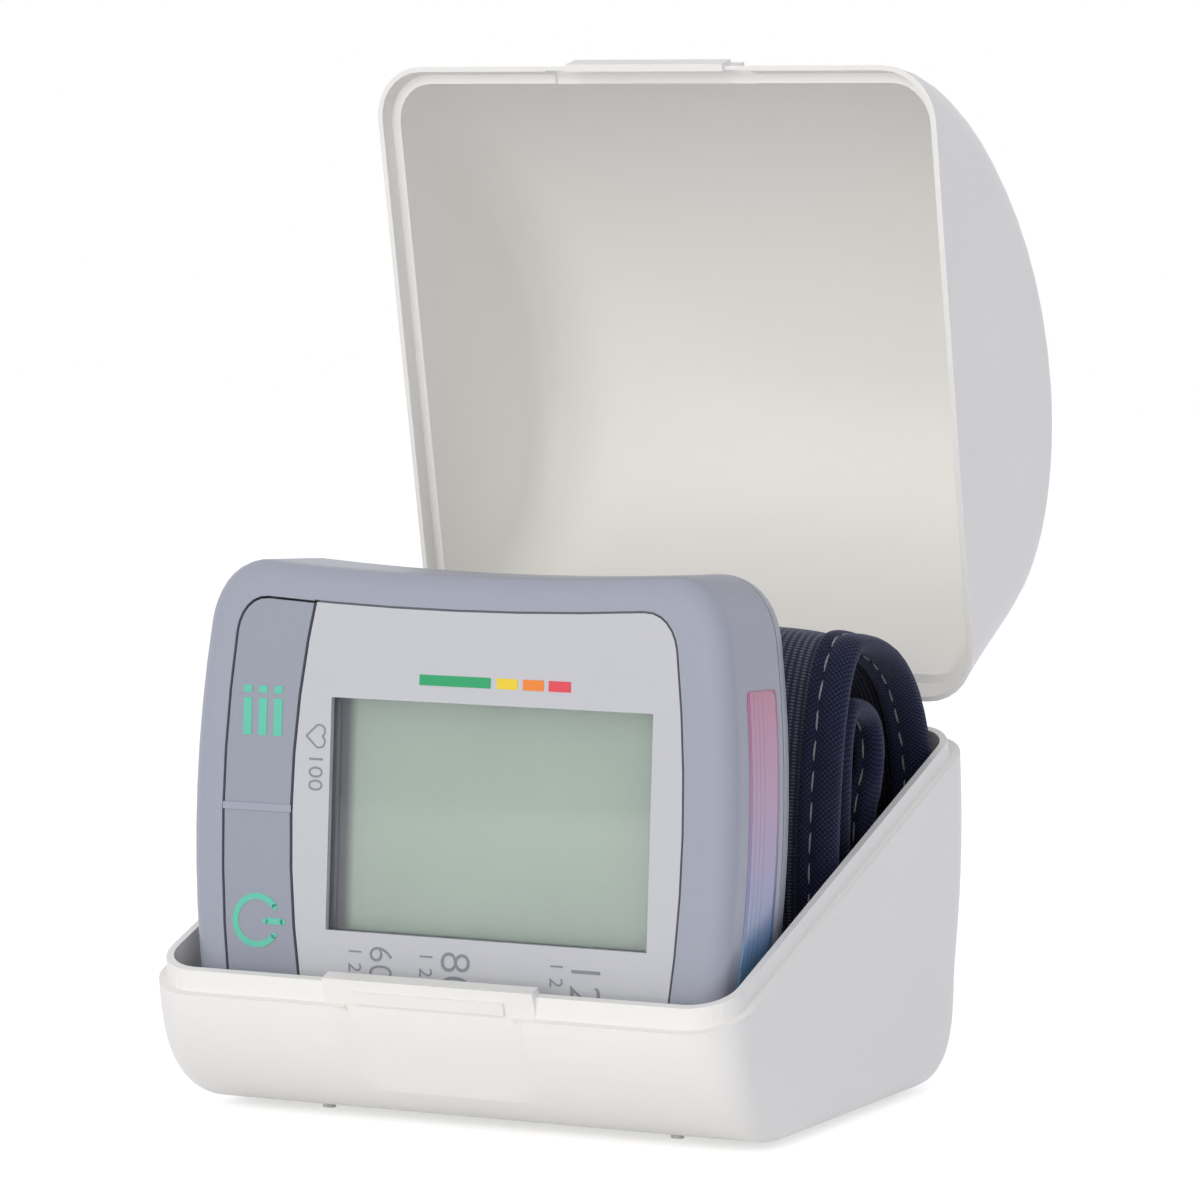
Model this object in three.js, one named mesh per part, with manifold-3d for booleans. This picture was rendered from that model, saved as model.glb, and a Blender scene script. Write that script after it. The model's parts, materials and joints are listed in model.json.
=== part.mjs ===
// A wrist blood pressure monitor that stands in its open storage case.
// Lengths are in millimetres. +X runs to the right, +Y to the back and +Z up.
// The case's outlines are drawn in the slope of its rim, the monitor's pieces in the plane of its face.

import * as THREE from "three";
import { mergeVertices } from "three/addons/utils/BufferGeometryUtils.js";
import Module from "manifold-3d";

const wasm = await Module();
wasm.setup();

// Clearances that every piece shares
const fitGap = 0.3;
const overrun = 10;
const mergeDistance = 0.0005;

// The cells set the monitor's height, and its width sets the widths of the cuff and the case
const cellRadius = 5.25;
const cellLength = 43.7;
const cellGap = 0.4;
const cellMargin = 11.55;
const bodyHalfWidth = 39.75;
const bodyHalfHeight = cellLength / 2 + cellMargin;
const cuffOverhang = 0.25;
const cuffHalfWidth = bodyHalfWidth + cuffOverhang;
const caseRoom = 3;

// Monitor, drawn in its face
const bodyCorner = 8.5;
const bodyBulge = 1.75;
const bodyWaist = 1.1;
const seamGap = 0.25;
const bodyWall = 1.8;
const frontEdge = 3;
const backEdge = 8;

// Inlay of the face: the panel and the two buttons lie inside one outline
const inlayShift = -0.85;
const sideBorder = 6;
const topBorder = 4.8;
const inlayHalfWidth = bodyHalfWidth - sideBorder;
const inlayHalfHeight = bodyHalfHeight - topBorder;
const inlayCorner = 4.8;
const inlayBulge = 1.5;
const inlayWaist = 0.9;
const panelThickness = 0.9;
const panelSeat = 0.2;
const faceWall = 3.3;
const windowMarginX = 20.7;
const windowMarginZ = 26.2;
const windowWidth = inlayHalfWidth * 2 - windowMarginX;
const windowHeight = inlayHalfHeight * 2 - windowMarginZ;
const windowShift = 4.9;
const paneMargin = 1.8;
const paneThickness = 1;

// Buttons
const buttonWidth = 10.55;
const boundaryMiddle = inlayShift - inlayHalfWidth + buttonWidth;
const boundaryRise = 2.95;
const buttonSplit = 0.3;
const buttonGap = 0.35;
const buttonSink = 0.1;
const buttonFlange = 0.8;
const buttonFlangeDepth = 0.8;
const buttonTravel = 0.8;
const plungerRadius = 1.8;
const plungerLength = 0.5;
const switchSide = 6;
const switchHeight = 2.2;
const switchCapRadius = 1.6;
const pressMargin = 5.6;
const buttonCentre = inlayShift - inlayHalfWidth + pressMargin;
const buttonMiddle = (inlayHalfHeight - bodyWall) / 2;

// Display and electronics
const glassMargin = 2.4;
const glassThickness = 2.2;
const frameMargin = 1.2;
const frameThickness = 2.6;
const frameLedge = 2;
const boardThickness = 1.6;
const boardMarginX = 4.75;
const boardMarginZ = 8.8;
const boardHalfWidth = bodyHalfWidth - boardMarginX;
const boardHalfHeight = bodyHalfHeight - boardMarginZ;
const boardCorner = 3;
const zebraThickness = 1.4;
const chipThickness = 1.5;
const sensorSide = 9;
const sensorThickness = 4;
const nippleRadius = 1.2;
const nippleLength = 3;
const buzzerRadius = 6;
const buzzerHeight = 5;
const buzzerStep = 14.7;
const chipShare = 0.77;
const chipMarginZ = 12.6;
const chipMiddle = chipMarginZ - boardHalfHeight;

// Battery bay on the left end
const cellNubRadius = 1.9;
const cellNubLength = 0.8;
const contactThickness = 0.4;
const contactSpring = 1.4;
const springRadius = 2.6;
const trayWall = 1.2;
const trayEnd = bodyHalfWidth - bodyBulge - bodyWall - fitGap * 2;
const bayInside = (cellRadius + cellGap) * 4 - trayEnd;
const doorOverlap = 1.55;
const doorHalfHeight = cellLength / 2 + doorOverlap;
const doorMargin = 0.7;
const doorRibWall = 0.8;
const doorRibPlace = 8;
const doorRibWidth = 2.4;

// Pump, valve and air line
const bayToWall = trayEnd + fitGap * 2 - bayInside;
const pumpShare = 0.264;
const valveShare = 0.61;
const pumpShift = bayInside + bayToWall * pumpShare;
const motorRadius = 6;
const motorLength = 17;
const pumpMargin = 7.4;
const pumpBottom = pumpMargin - bodyHalfHeight;
const headSide = 12.4;
const headLength = 11;
const shaftLength = 0.8;
const shaftRadius = 1;
const valveShift = bayInside + bayToWall * valveShare;
const valveLift = 4;
const valveBottom = pumpBottom + valveLift;
const valveRadius = 5;
const valveLength = 12;
const chipRoom = boardHalfWidth - valveShift - valveRadius;
const chipSide = chipRoom * chipShare;
const chipShift = boardHalfWidth - chipRoom / 2;
const tubeRadius = 2;
const tubeRun = 10.8;
const tubeFall = 5.6;
const tubeExit = pumpShift + headSide / 2 + tubeRun;
const tubeBend = 4;
const tubeEase = 0.5;
const tubeSides = 8;
const tubeSteps = 18;

// Screws through the back cover
const screwMarginX = 9.25;
const screwMarginZ = 5;
const screwSpreadX = bodyHalfWidth - screwMarginX;
const screwSpreadZ = bodyHalfHeight - screwMarginZ;
const bossRadius = 2.6;
const screwRadius = 1.1;
const screwHeadRadius = 2.2;
const screwHeadHeight = 1.6;
const screwLength = 10;
const screwSink = 4.4;

// Cuff, seen from the right end: a padded loop with its free end tucked in
const cuffSpan = 39.6;
const cuffFall = 3;
const cuffHeight = 63.4;
const cuffWaistRise = 31.4;
const cuffBottom = -bodyHalfHeight - cuffFall;
const cuffTop = cuffBottom + cuffHeight;
const cuffWaist = cuffBottom + cuffWaistRise;
const cuffCrownShare = 0.303;
const cuffFloorShare = 0.505;
const fabricThickness = 1.4;
const bladderThickness = 2.4;
const bladderMargin = 13;
const bladderHalfWidth = cuffHalfWidth - bladderMargin;
const bladderRun = 26;
const bindingWidth = 6.5;
const bindingThickness = 0.6;

// Seat on the back cover, and the mount that holds the cuff on it
const tubeMargin = 5;
const mountMargin = 2;
const mountHalfWidth = tubeExit + tubeMargin;
const seatMarginZ = 16.4;
const seatHalfWidth = mountHalfWidth + mountMargin;
const seatHalfHeight = bodyHalfHeight - seatMarginZ;
const seatCorner = 6;
const seatRise = 5.6;
const mountThickness = 2.6;
const mountHalfHeight = seatHalfHeight - mountMargin;
const mountCorner = 5;
const mountHook = 1.5;
const hookMargin = 0.8;
const hookHalfWidth = -bayInside - trayWall - hookMargin;

// Free end of the cuff
const tailThickness = 3;
const tailEase = 1.3;
const tailSpan = 12.4;
const tailBendShare = 0.8;
const tailDrop = 10.6;
const tailRise = 22.4;
const tailBackRise = 15.4;
const tailTop = cuffTop - tailDrop;
const tailFoot = cuffBottom + tailRise;
const tailBackFoot = cuffBottom + tailBackRise;
const tailMargin = 1.4;
const tailHalfWidth = cuffHalfWidth - tailMargin;
const hookPatchThickness = 0.8;
const hookPatchMargin = 10;
const hookPatchHalfWidth = cuffHalfWidth - hookPatchMargin;
const hookPatchHeight = 22;
const hookPatchRise = 1;
const hookPatchBottom = tailBackFoot + hookPatchRise;
const hookPatchTop = hookPatchBottom + hookPatchHeight;

// Depths behind the face, from the panel to the back cover
const recessDepth = panelThickness + panelSeat;
const paneFront = recessDepth;
const paneBack = paneFront + paneThickness;
const glassFront = faceWall + fitGap;
const glassBack = glassFront + glassThickness;
const frameFront = glassBack + fitGap;
const frameBack = frameFront + frameThickness;
const boardFront = frameBack + fitGap;
const boardBack = boardFront + boardThickness;
const boardRoom = 0.9;
const trayFront = boardBack + boardRoom;
const cellDepth = trayFront + trayWall + fitGap + cellRadius;
const doorFront = cellDepth - cellRadius - doorMargin;
const bodyDepth = cellDepth + cellRadius + fitGap + bodyWall;
const seamDepth = bodyDepth - backEdge - fitGap;

// Storage case, seen from its right side
const caseWidth = (cuffHalfWidth + caseRoom) * 2;
const rimSlope = THREE.MathUtils.degToRad(19.7);
const rimFront = -39.8;
const frontRoom = 7.4;
const backRoom = 7.25;
const mountReach = seatRise + fitGap + mountThickness - bindingThickness;
const contentsDepth = bodyDepth + mountReach + cuffSpan;
const rimLength = (frontRoom + contentsDepth + backRoom) / Math.cos(rimSlope);
const frontHeight = 16.7;
const frontRun = 21.8;
const heelRun = 15.5;
const heelHeight = 15.5;
const heelInset = 0.7;
const backBulge = 1.9;
const baseWall = 2;
const shoulder = 1;
const lipHeight = 2.7;
const lipWall = 1;
const rimCorner = 7.5;
const floorEdge = 3.2;
const frontCurveShares = [
  [0.055, 0.57],
  [0.45, 0],
];
const heelCurveShares = [
  [0.52, 0],
  [0.83, 0.42],
];
const backCurveShares = [0.34, 0.66];

// Lid, drawn along the rim and above it
const lidHeight = 44.1;
const lidWall = 2;
const lidEdge = 6;
const lidCrownShare = 0.6;
const lidBackShares = [0.928, 0.51];
const lidFootShare = 0.991;
const lidFrontCurveShares = [
  [0.048, 0.397],
  [0.311, 1],
];
const lidCrownCurveShares = [
  [0.751, 1],
  [0.885, 0.828],
];
const lidBackCurveShares = [
  [0.949, 0.358],
  [0.966, 0.136],
];
const openAngle = THREE.MathUtils.degToRad(96.1);

// Front catch and thumb scoop
const catchWidth = 30.6;
const catchRise = 0.9;
const catchWall = 2;
const catchTabWidth = 24;
const catchTabWall = 3.2;
const catchTabStand = 0.35;
const catchBeadWidth = 22;
const catchBeadHeight = 1.7;
const catchBeadDepth = 0.5;
const catchBeadRise = 0.35;
const scoopWidth = 29;
const scoopSoftEdge = 3.4;
const scoopDepth = 1.2;
const scoopFootShare = 0.66;

// Clip hinge at the back
const hingeSetback = 2.2;
const hingeRise = 1.1;
const hingeMargin = 17;
const hingePlace = caseWidth / 2 - hingeMargin;
const knuckleRadius = 2.1;
const knuckleWidth = 7;
const pinRadius = 1;
const snapSlot = 1.7;
const cheekWidth = 2.2;
const cheekReach = 5.6;
const webReach = 7;
const heelStop = 4.6;

// Pips under the base
const footRadius = 0.9;
const footHeight = 0.9;
const footMargin = 17;
const footSpread = caseWidth / 2 - footMargin;
const footFront = -17;
const footBack = 28;

// Place of the monitor in the case
const faceY = rimFront + frontRoom;
const bodyLift = 7.9;
const faceZ = bodyHalfHeight + bodyLift;
const lean = THREE.MathUtils.degToRad(2.2);

// Colours of the pieces
function plastic(colour, roughness) {
  return new THREE.MeshStandardMaterial({ color: colour, roughness, metalness: 0 });
}
function metal(colour, roughness) {
  return new THREE.MeshStandardMaterial({ color: colour, roughness, metalness: 1 });
}
const whitePlastic = plastic(0xf0efea, 0.28);
const greyPlastic = plastic(0xa4a8b4, 0.4);
const buttonGrey = plastic(0x9ba2ad, 0.45);
const panelWhite = plastic(0xd3d6db, 0.35);
const clearPlastic = new THREE.MeshStandardMaterial({
  color: 0xe8efe9,
  roughness: 0.05,
  metalness: 0,
  transparent: true,
  opacity: 0.25,
});
const displayGreen = plastic(0xadc2b2, 0.2);
const blackPlastic = plastic(0x26272b, 0.5);
const boardGreen = plastic(0x2f6b45, 0.5);
const rubberGrey = plastic(0x8d9094, 0.8);
const navyFabric = plastic(0x232741, 0.95);
const greyKnit = plastic(0x55575d, 0.95);
const steel = metal(0xb9bcc0, 0.35);
const brass = metal(0xb9a36a, 0.4);
const cellBlue = plastic(0x31577f, 0.4);

// Solids and meshes

function solid(geometry) {
  const bare = geometry.index ? geometry.toNonIndexed() : geometry.clone();
  bare.deleteAttribute("normal");
  bare.deleteAttribute("uv");
  const merged = mergeVertices(bare, mergeDistance);
  return new wasm.Manifold(
    new wasm.Mesh({
      numProp: 3,
      vertProperties: merged.attributes.position.array,
      triVerts: new Uint32Array(merged.index.array),
    }),
  );
}

function join(...solids) {
  return solids.reduce((whole, piece) => whole.add(piece));
}

function cut(whole, ...tools) {
  return tools.reduce((rest, tool) => rest.subtract(tool), whole);
}

function piece(name, shape, material) {
  const made = shape.getMesh();
  const geometry = new THREE.BufferGeometry();
  geometry.setAttribute("position", new THREE.BufferAttribute(made.vertProperties, 3));
  geometry.setIndex(new THREE.BufferAttribute(made.triVerts, 1));
  geometry.computeVertexNormals();
  const mesh = new THREE.Mesh(geometry, material);
  mesh.name = name;
  return mesh;
}

function block(x0, x1, y0, y1, z0, z1) {
  const geometry = new THREE.BoxGeometry(x1 - x0, y1 - y0, z1 - z0);
  geometry.translate((x0 + x1) / 2, (y0 + y1) / 2, (z0 + z1) / 2);
  return solid(geometry);
}

function rodX(radius, x0, x1, y, z, sides = 16) {
  const geometry = new THREE.CylinderGeometry(radius, radius, x1 - x0, sides);
  geometry.rotateZ(Math.PI / 2);
  geometry.translate((x0 + x1) / 2, y, z);
  return solid(geometry);
}

function rodY(radius, y0, y1, x, z, sides = 16) {
  const geometry = new THREE.CylinderGeometry(radius, radius, y1 - y0, sides);
  geometry.translate(x, (y0 + y1) / 2, z);
  return solid(geometry);
}

function rodZ(radius, z0, z1, x, y, sides = 16) {
  const geometry = new THREE.CylinderGeometry(radius, radius, z1 - z0, sides);
  geometry.rotateX(Math.PI / 2);
  geometry.translate(x, y, (z0 + z1) / 2);
  return solid(geometry);
}

// A flat outline of (X, Z) points, as a plate between two depths along Y.
function plate(points, front, back) {
  const geometry = new THREE.ExtrudeGeometry(new THREE.Shape(points), {
    depth: back - front,
    bevelEnabled: false,
  });
  geometry.rotateX(Math.PI / 2);
  geometry.translate(0, back, 0);
  return solid(geometry);
}

// A flat outline of (Y, Z) points, as a bar between two places along X.
function bar(points, x0, x1) {
  const geometry = new THREE.ExtrudeGeometry(new THREE.Shape(points), {
    depth: x1 - x0,
    bevelEnabled: false,
  });
  const turn = new THREE.Matrix4().makeBasis(
    new THREE.Vector3(0, 1, 0),
    new THREE.Vector3(0, 0, 1),
    new THREE.Vector3(1, 0, 0),
  );
  geometry.applyMatrix4(turn);
  geometry.translate(x0, 0, 0);
  return solid(geometry);
}

// A closed outline moved inwards by a distance, which may differ from point to point.
function inset(points, distance) {
  const turn = Math.sign(THREE.ShapeUtils.area(points));
  return points.map((point, i) => {
    const before = points[(i + points.length - 1) % points.length];
    const after = points[(i + 1) % points.length];
    const a = point.clone().sub(before).normalize();
    const b = after.clone().sub(point).normalize();
    const inwards = new THREE.Vector2(-a.y - b.y, a.x + b.x).divideScalar(1 + a.dot(b));
    const by = typeof distance === "function" ? distance(point) : distance;
    return point.clone().addScaledVector(inwards, by * turn);
  });
}

// An inset outline without the points that a tight bend folds over.
function smoothInset(points, distance) {
  const nearest = (point) =>
    Math.min(
      ...points.map((start, i) => {
        const along = points[(i + 1) % points.length].clone().sub(start);
        const from = point.clone().sub(start);
        const share = THREE.MathUtils.clamp(from.dot(along) / along.lengthSq(), 0, 1);
        return from.addScaledVector(along, -share).length();
      }),
    );
  return inset(points, distance).filter((point) => nearest(point) > distance - mergeDistance);
}

// A closed body through rings of points that match one another, with a flat cap at each end.
function skin(rings, flatten) {
  const count = rings[0].length;
  const index = [];
  for (let ring = 0; ring + 1 < rings.length; ring += 1) {
    for (let i = 0; i < count; i += 1) {
      const j = (i + 1) % count;
      const here = ring * count;
      const next = here + count;
      index.push(here + i, here + j, next + j, here + i, next + j, next + i);
    }
  }
  const last = (rings.length - 1) * count;
  const firstCap = THREE.ShapeUtils.triangulateShape(rings[0].map(flatten), []);
  const lastCap = THREE.ShapeUtils.triangulateShape(rings.at(-1).map(flatten), []);
  const turn = THREE.ShapeUtils.area(rings[0].map(flatten)) > 0;
  for (const [a, b, c] of firstCap) index.push(...(turn ? [c, b, a] : [a, b, c]));
  for (const [a, b, c] of lastCap) {
    index.push(...(turn ? [last + a, last + b, last + c] : [last + c, last + b, last + a]));
  }
  const points = rings.flat();
  let volume = 0;
  for (let i = 0; i < index.length; i += 3) {
    const [a, b, c] = [points[index[i]], points[index[i + 1]], points[index[i + 2]]];
    volume += a.dot(b.clone().cross(c));
  }
  if (volume < 0) index.reverse();
  const geometry = new THREE.BufferGeometry().setFromPoints(points);
  geometry.setIndex(index);
  return solid(geometry);
}

// A side outline carried across the case, with its edges rounded towards both side panels.
function roundedAcross(points, halfWidth, edgeAt, place = new THREE.Matrix4()) {
  const steps = 7;
  const rings = [];
  for (const side of [-1, 1]) {
    for (let step = 0; step <= steps; step += 1) {
      const turn = ((side < 0 ? steps - step : step) / steps) * (Math.PI / 2);
      const moved = inset(points, (point) => edgeAt(point) * (1 - Math.cos(turn)));
      rings.push(
        moved.map((point, i) => {
          const x = side * (halfWidth - edgeAt(points[i]) * (1 - Math.sin(turn)));
          return new THREE.Vector3(x, point.x, point.y).applyMatrix4(place);
        }),
      );
    }
  }
  return skin(rings, (point) => new THREE.Vector2(point.y, point.z));
}

// Storage case

const rimTurn = new THREE.Matrix4()
  .makeTranslation(0, rimFront, frontHeight)
  .multiply(new THREE.Matrix4().makeRotationX(rimSlope));
const hingeAlong = rimLength + hingeSetback;

// A point along the rim and above it, as (Y, Z).
function fromRim(along, above) {
  const point = new THREE.Vector3(0, along, above).applyMatrix4(rimTurn);
  return new THREE.Vector2(point.y, point.z);
}

function inRim(x0, x1, along0, along1, above0, above1) {
  const geometry = new THREE.BoxGeometry(x1 - x0, along1 - along0, above1 - above0);
  geometry.translate((x0 + x1) / 2, (along0 + along1) / 2, (above0 + above1) / 2);
  geometry.applyMatrix4(rimTurn);
  return solid(geometry);
}

function aboveRim(above) {
  const half = caseWidth;
  const far = rimLength + overrun * 2;
  return inRim(-half, half, -overrun * 2, far, above, above + lidHeight + overrun * 2);
}

// The front wall from the shoulder down to the floor.
function frontCurve() {
  const top = fromRim(0, 0);
  const [[a, b], [c, d]] = frontCurveShares;
  return new THREE.CubicBezierCurve(
    top,
    new THREE.Vector2(rimFront + frontRun * a, frontHeight * b),
    new THREE.Vector2(rimFront + frontRun * c, frontHeight * d),
    new THREE.Vector2(rimFront + frontRun, 0),
  );
}

function baseOutline() {
  const back = fromRim(rimLength, 0);
  const heelStart = back.x - heelRun;
  const heelEnd = back.x - heelInset;
  const wallRise = back.y - heelHeight;
  const [[a, b], [c, d]] = heelCurveShares;
  const [low, high] = backCurveShares;
  const path = new THREE.Path();
  path.curves.push(frontCurve());
  path.currentPoint.set(rimFront + frontRun, 0);
  path.lineTo(heelStart, 0);
  path.bezierCurveTo(
    heelStart + heelRun * a,
    heelHeight * b,
    heelStart + heelRun * c,
    heelHeight * d,
    heelEnd,
    heelHeight,
  );
  path.bezierCurveTo(
    back.x + backBulge,
    heelHeight + wallRise * low,
    back.x + backBulge,
    heelHeight + wallRise * high,
    back.x,
    back.y,
  );
  const points = path.getPoints(13);
  points.push(fromRim(rimLength, overrun), fromRim(0, overrun));
  return points;
}

function baseEdge(point) {
  const share = THREE.MathUtils.smoothstep(point.y, 0, frontHeight);
  return THREE.MathUtils.lerp(floorEdge, rimCorner, share);
}

// The soft hollow for a thumb under the catch follows the front wall and fades out at its sides and foot.
function thumbScoop() {
  const curve = frontCurve();
  const steps = 6;
  const across = 12;
  const rings = [];
  for (let i = 0; i <= steps; i += 1) {
    const share = (scoopFootShare * i) / steps;
    const point = curve.getPoint(share);
    const along = curve.getTangent(share);
    const inwards = new THREE.Vector2(-along.y, along.x);
    const fade = 1 - THREE.MathUtils.smoothstep(share / scoopFootShare, 0.45, 1);
    const outer = point.clone().addScaledVector(inwards, -scoopDepth);
    const ring = [];
    for (let k = 0; k <= across; k += 1) {
      const x = scoopWidth * (k / across - 0.5);
      const side = THREE.MathUtils.smoothstep(scoopWidth / 2 - Math.abs(x), 0, scoopSoftEdge);
      const depth = scoopDepth * (side * fade * 1.25 - 0.25);
      const inner = point.clone().addScaledVector(inwards, depth);
      ring.push(new THREE.Vector3(x, inner.x, inner.y));
    }
    ring.push(new THREE.Vector3(scoopWidth / 2, outer.x, outer.y));
    ring.push(new THREE.Vector3(-scoopWidth / 2, outer.x, outer.y));
    rings.push(ring);
  }
  return skin(rings, (point) => new THREE.Vector2(point.x, point.z));
}

// One clip of the hinge, open towards the back so that the pin snaps in.
function hingeClip(x) {
  const x0 = x - knuckleWidth / 2;
  const x1 = x + knuckleWidth / 2;
  const web = [
    [hingeAlong + knuckleRadius, hingeRise],
    [hingeAlong + knuckleRadius * 0.8, hingeRise - knuckleRadius],
    [rimLength - shoulder * 1.5, -webReach],
    [rimLength - baseWall, -webReach],
    [rimLength - shoulder, -fitGap],
    [hingeAlong - knuckleRadius, -fitGap],
  ].map(([along, above]) => fromRim(along, above));
  const axis = fromRim(hingeAlong, hingeRise);
  const knuckle = join(bar(web, x0, x1), rodX(knuckleRadius, x0, x1, axis.x, axis.y));
  const bore = rodX(pinRadius + fitGap, x0 - overrun, x1 + overrun, axis.x, axis.y);
  const slot = inRim(
    x0 - overrun,
    x1 + overrun,
    hingeAlong,
    hingeAlong + overrun,
    hingeRise - snapSlot / 2,
    hingeRise + snapSlot / 2,
  );
  return cut(knuckle, bore, slot);
}

// The lip that the closed lid's rebate drops over: it follows the lid's own outline.
function caseLip() {
  const ring = (inwards) =>
    roundedAcross(
      inset(lidOutline(), inwards),
      caseWidth / 2 - inwards,
      (point) => lidEdgeAt(point) - inwards,
      rimTurn,
    );
  const wide = caseWidth;
  const level = inRim(-wide, wide, -overrun, rimLength + overrun, -lipHeight, lipHeight);
  return cut(ring(shoulder).intersect(level), ring(shoulder + lipWall));
}

function caseBase() {
  const outline = baseOutline();
  const half = caseWidth / 2;
  const hollowEdge = (point) => Math.max(baseEdge(point) - baseWall, floorEdge / 2);
  const outer = cut(roundedAcross(outline, half, baseEdge), aboveRim(0));
  const hollow = roundedAcross(inset(outline, baseWall), half - baseWall, hollowEdge);
  const raised = inRim(
    -catchWidth / 2,
    catchWidth / 2,
    shoulder,
    shoulder + catchWall,
    -lipHeight,
    lipHeight + catchRise,
  );
  const notch = inRim(
    -catchTabWidth / 2 - fitGap,
    catchTabWidth / 2 + fitGap,
    -overrun,
    shoulder,
    -catchRise,
    overrun,
  );
  const bead = inRim(
    -catchBeadWidth / 2,
    catchBeadWidth / 2,
    shoulder - catchBeadDepth,
    shoulder + catchWall / 2,
    catchBeadRise,
    catchBeadRise + catchBeadHeight,
  );
  const clips = [-hingePlace, hingePlace].map((x) => cut(hingeClip(x), hollow));
  const feet = [-footSpread, footSpread].flatMap((x) =>
    [footFront, footBack].map((y) => rodZ(footRadius, -footHeight, baseWall / 2, x, y, 14)),
  );
  const shell = join(cut(outer, hollow), caseLip());
  return join(cut(join(shell, raised), notch, thumbScoop()), bead, ...clips, ...feet);
}

// Lid, in the rim's own directions with the hinge axis at zero

function lidPoint([along, above]) {
  return new THREE.Vector2(rimLength * along, lidHeight * above);
}

function lidOutline() {
  const path = new THREE.Path();
  const through = (controls, end) => {
    const [a, b] = controls.map(lidPoint);
    path.bezierCurveTo(a.x, a.y, b.x, b.y, end.x, end.y);
  };
  path.moveTo(0, 0);
  through(lidFrontCurveShares, lidPoint([lidCrownShare, 1]));
  through(lidCrownCurveShares, lidPoint(lidBackShares));
  through(lidBackCurveShares, lidPoint([lidFootShare, 0]));
  const points = path.getPoints(13);
  points.push(new THREE.Vector2(rimLength, -overrun), new THREE.Vector2(-shoulder, -overrun));
  return points;
}

function lidEdgeAt(point) {
  const rise = THREE.MathUtils.clamp(point.y / lidHeight, 0, 1);
  return THREE.MathUtils.lerp(rimCorner, lidEdge, rise);
}

function lidCheek(x) {
  const outline = [
    [hingeAlong + knuckleRadius * 0.6, hingeRise + knuckleRadius * 0.8],
    [rimLength * lidFootShare - lidWall, cheekReach],
    [rimLength * lidFootShare - lidWall, hingeRise],
    [hingeAlong - knuckleRadius * 0.6, hingeRise - knuckleRadius * 0.4],
  ].map(([along, above]) => new THREE.Vector2(along, above));
  const stop = [
    [-0.25 * knuckleRadius, 0],
    [-0.25 * knuckleRadius, -heelStop],
    [0.5 * knuckleRadius, -heelStop],
    [knuckleRadius, 0],
  ].map(([y, z]) => {
    const point = new THREE.Vector2(y, z).rotateAround(new THREE.Vector2(), openAngle - rimSlope);
    return point.add(new THREE.Vector2(hingeAlong, hingeRise));
  });
  const x0 = x - cheekWidth / 2;
  const x1 = x + cheekWidth / 2;
  return join(
    bar(outline, x0, x1),
    bar(stop, x0, x1),
    rodX(knuckleRadius, x0, x1, hingeAlong, hingeRise),
  );
}

function caseLid() {
  const outline = lidOutline();
  const half = caseWidth / 2;
  const innerEdge = (point) => lidEdgeAt(point) - lidWall;
  const rabbetInset = shoulder - fitGap;
  const outer = roundedAcross(outline, half, lidEdgeAt);
  const hollow = roundedAcross(inset(outline, lidWall), half - lidWall, innerEdge);
  const rabbetEdge = (point) => lidEdgeAt(point) - rabbetInset;
  const rabbet = roundedAcross(inset(outline, rabbetInset), half - rabbetInset, rabbetEdge);
  const rabbetTop = lipHeight + fitGap * 2;
  const high = lidHeight + overrun;
  const wide = caseWidth;
  const long = rimLength + overrun * 2;
  const overRabbet = block(-wide, wide, -overrun * 2, long, rabbetTop, high + overrun);
  const underRim = block(-wide, wide, -overrun * 2, long, -overrun * 2, fitGap);
  const tab = block(
    -catchTabWidth / 2,
    catchTabWidth / 2,
    lidWall / 2,
    catchTabWall,
    lipHeight + catchRise + fitGap * 2,
    lipHeight + catchRise + fitGap * 2 + catchTabWall,
  );
  const tabFront = block(
    -catchTabWidth / 2,
    catchTabWidth / 2,
    -catchTabStand,
    shoulder - fitGap,
    -catchRise + fitGap,
    lipHeight,
  );
  const beadGroove = block(
    -catchBeadWidth / 2 - fitGap,
    catchBeadWidth / 2 + fitGap,
    shoulder - catchBeadDepth - fitGap,
    shoulder,
    catchBeadRise - fitGap,
    catchBeadRise + catchBeadHeight + fitGap,
  );
  const catchRoom = block(
    -catchWidth / 2 - fitGap,
    catchWidth / 2 + fitGap,
    shoulder - fitGap,
    shoulder + catchWall + fitGap,
    -overrun,
    lipHeight + catchRise + fitGap,
  );
  const middle = knuckleWidth / 2 + fitGap + cheekWidth / 2;
  const hinges = [-hingePlace, hingePlace].flatMap((x) => [
    lidCheek(x - middle),
    lidCheek(x + middle),
    rodX(pinRadius, x - middle, x + middle, hingeAlong, hingeRise, 14),
  ]);
  const shell = cut(join(cut(outer, underRim), ...hinges), hollow, cut(rabbet, overRabbet));
  const front = cut(join(shell, tab), catchRoom);
  return cut(join(front, tabFront), beadGroove);
}

// Monitor outlines, as (X, Z) points in the face

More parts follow.
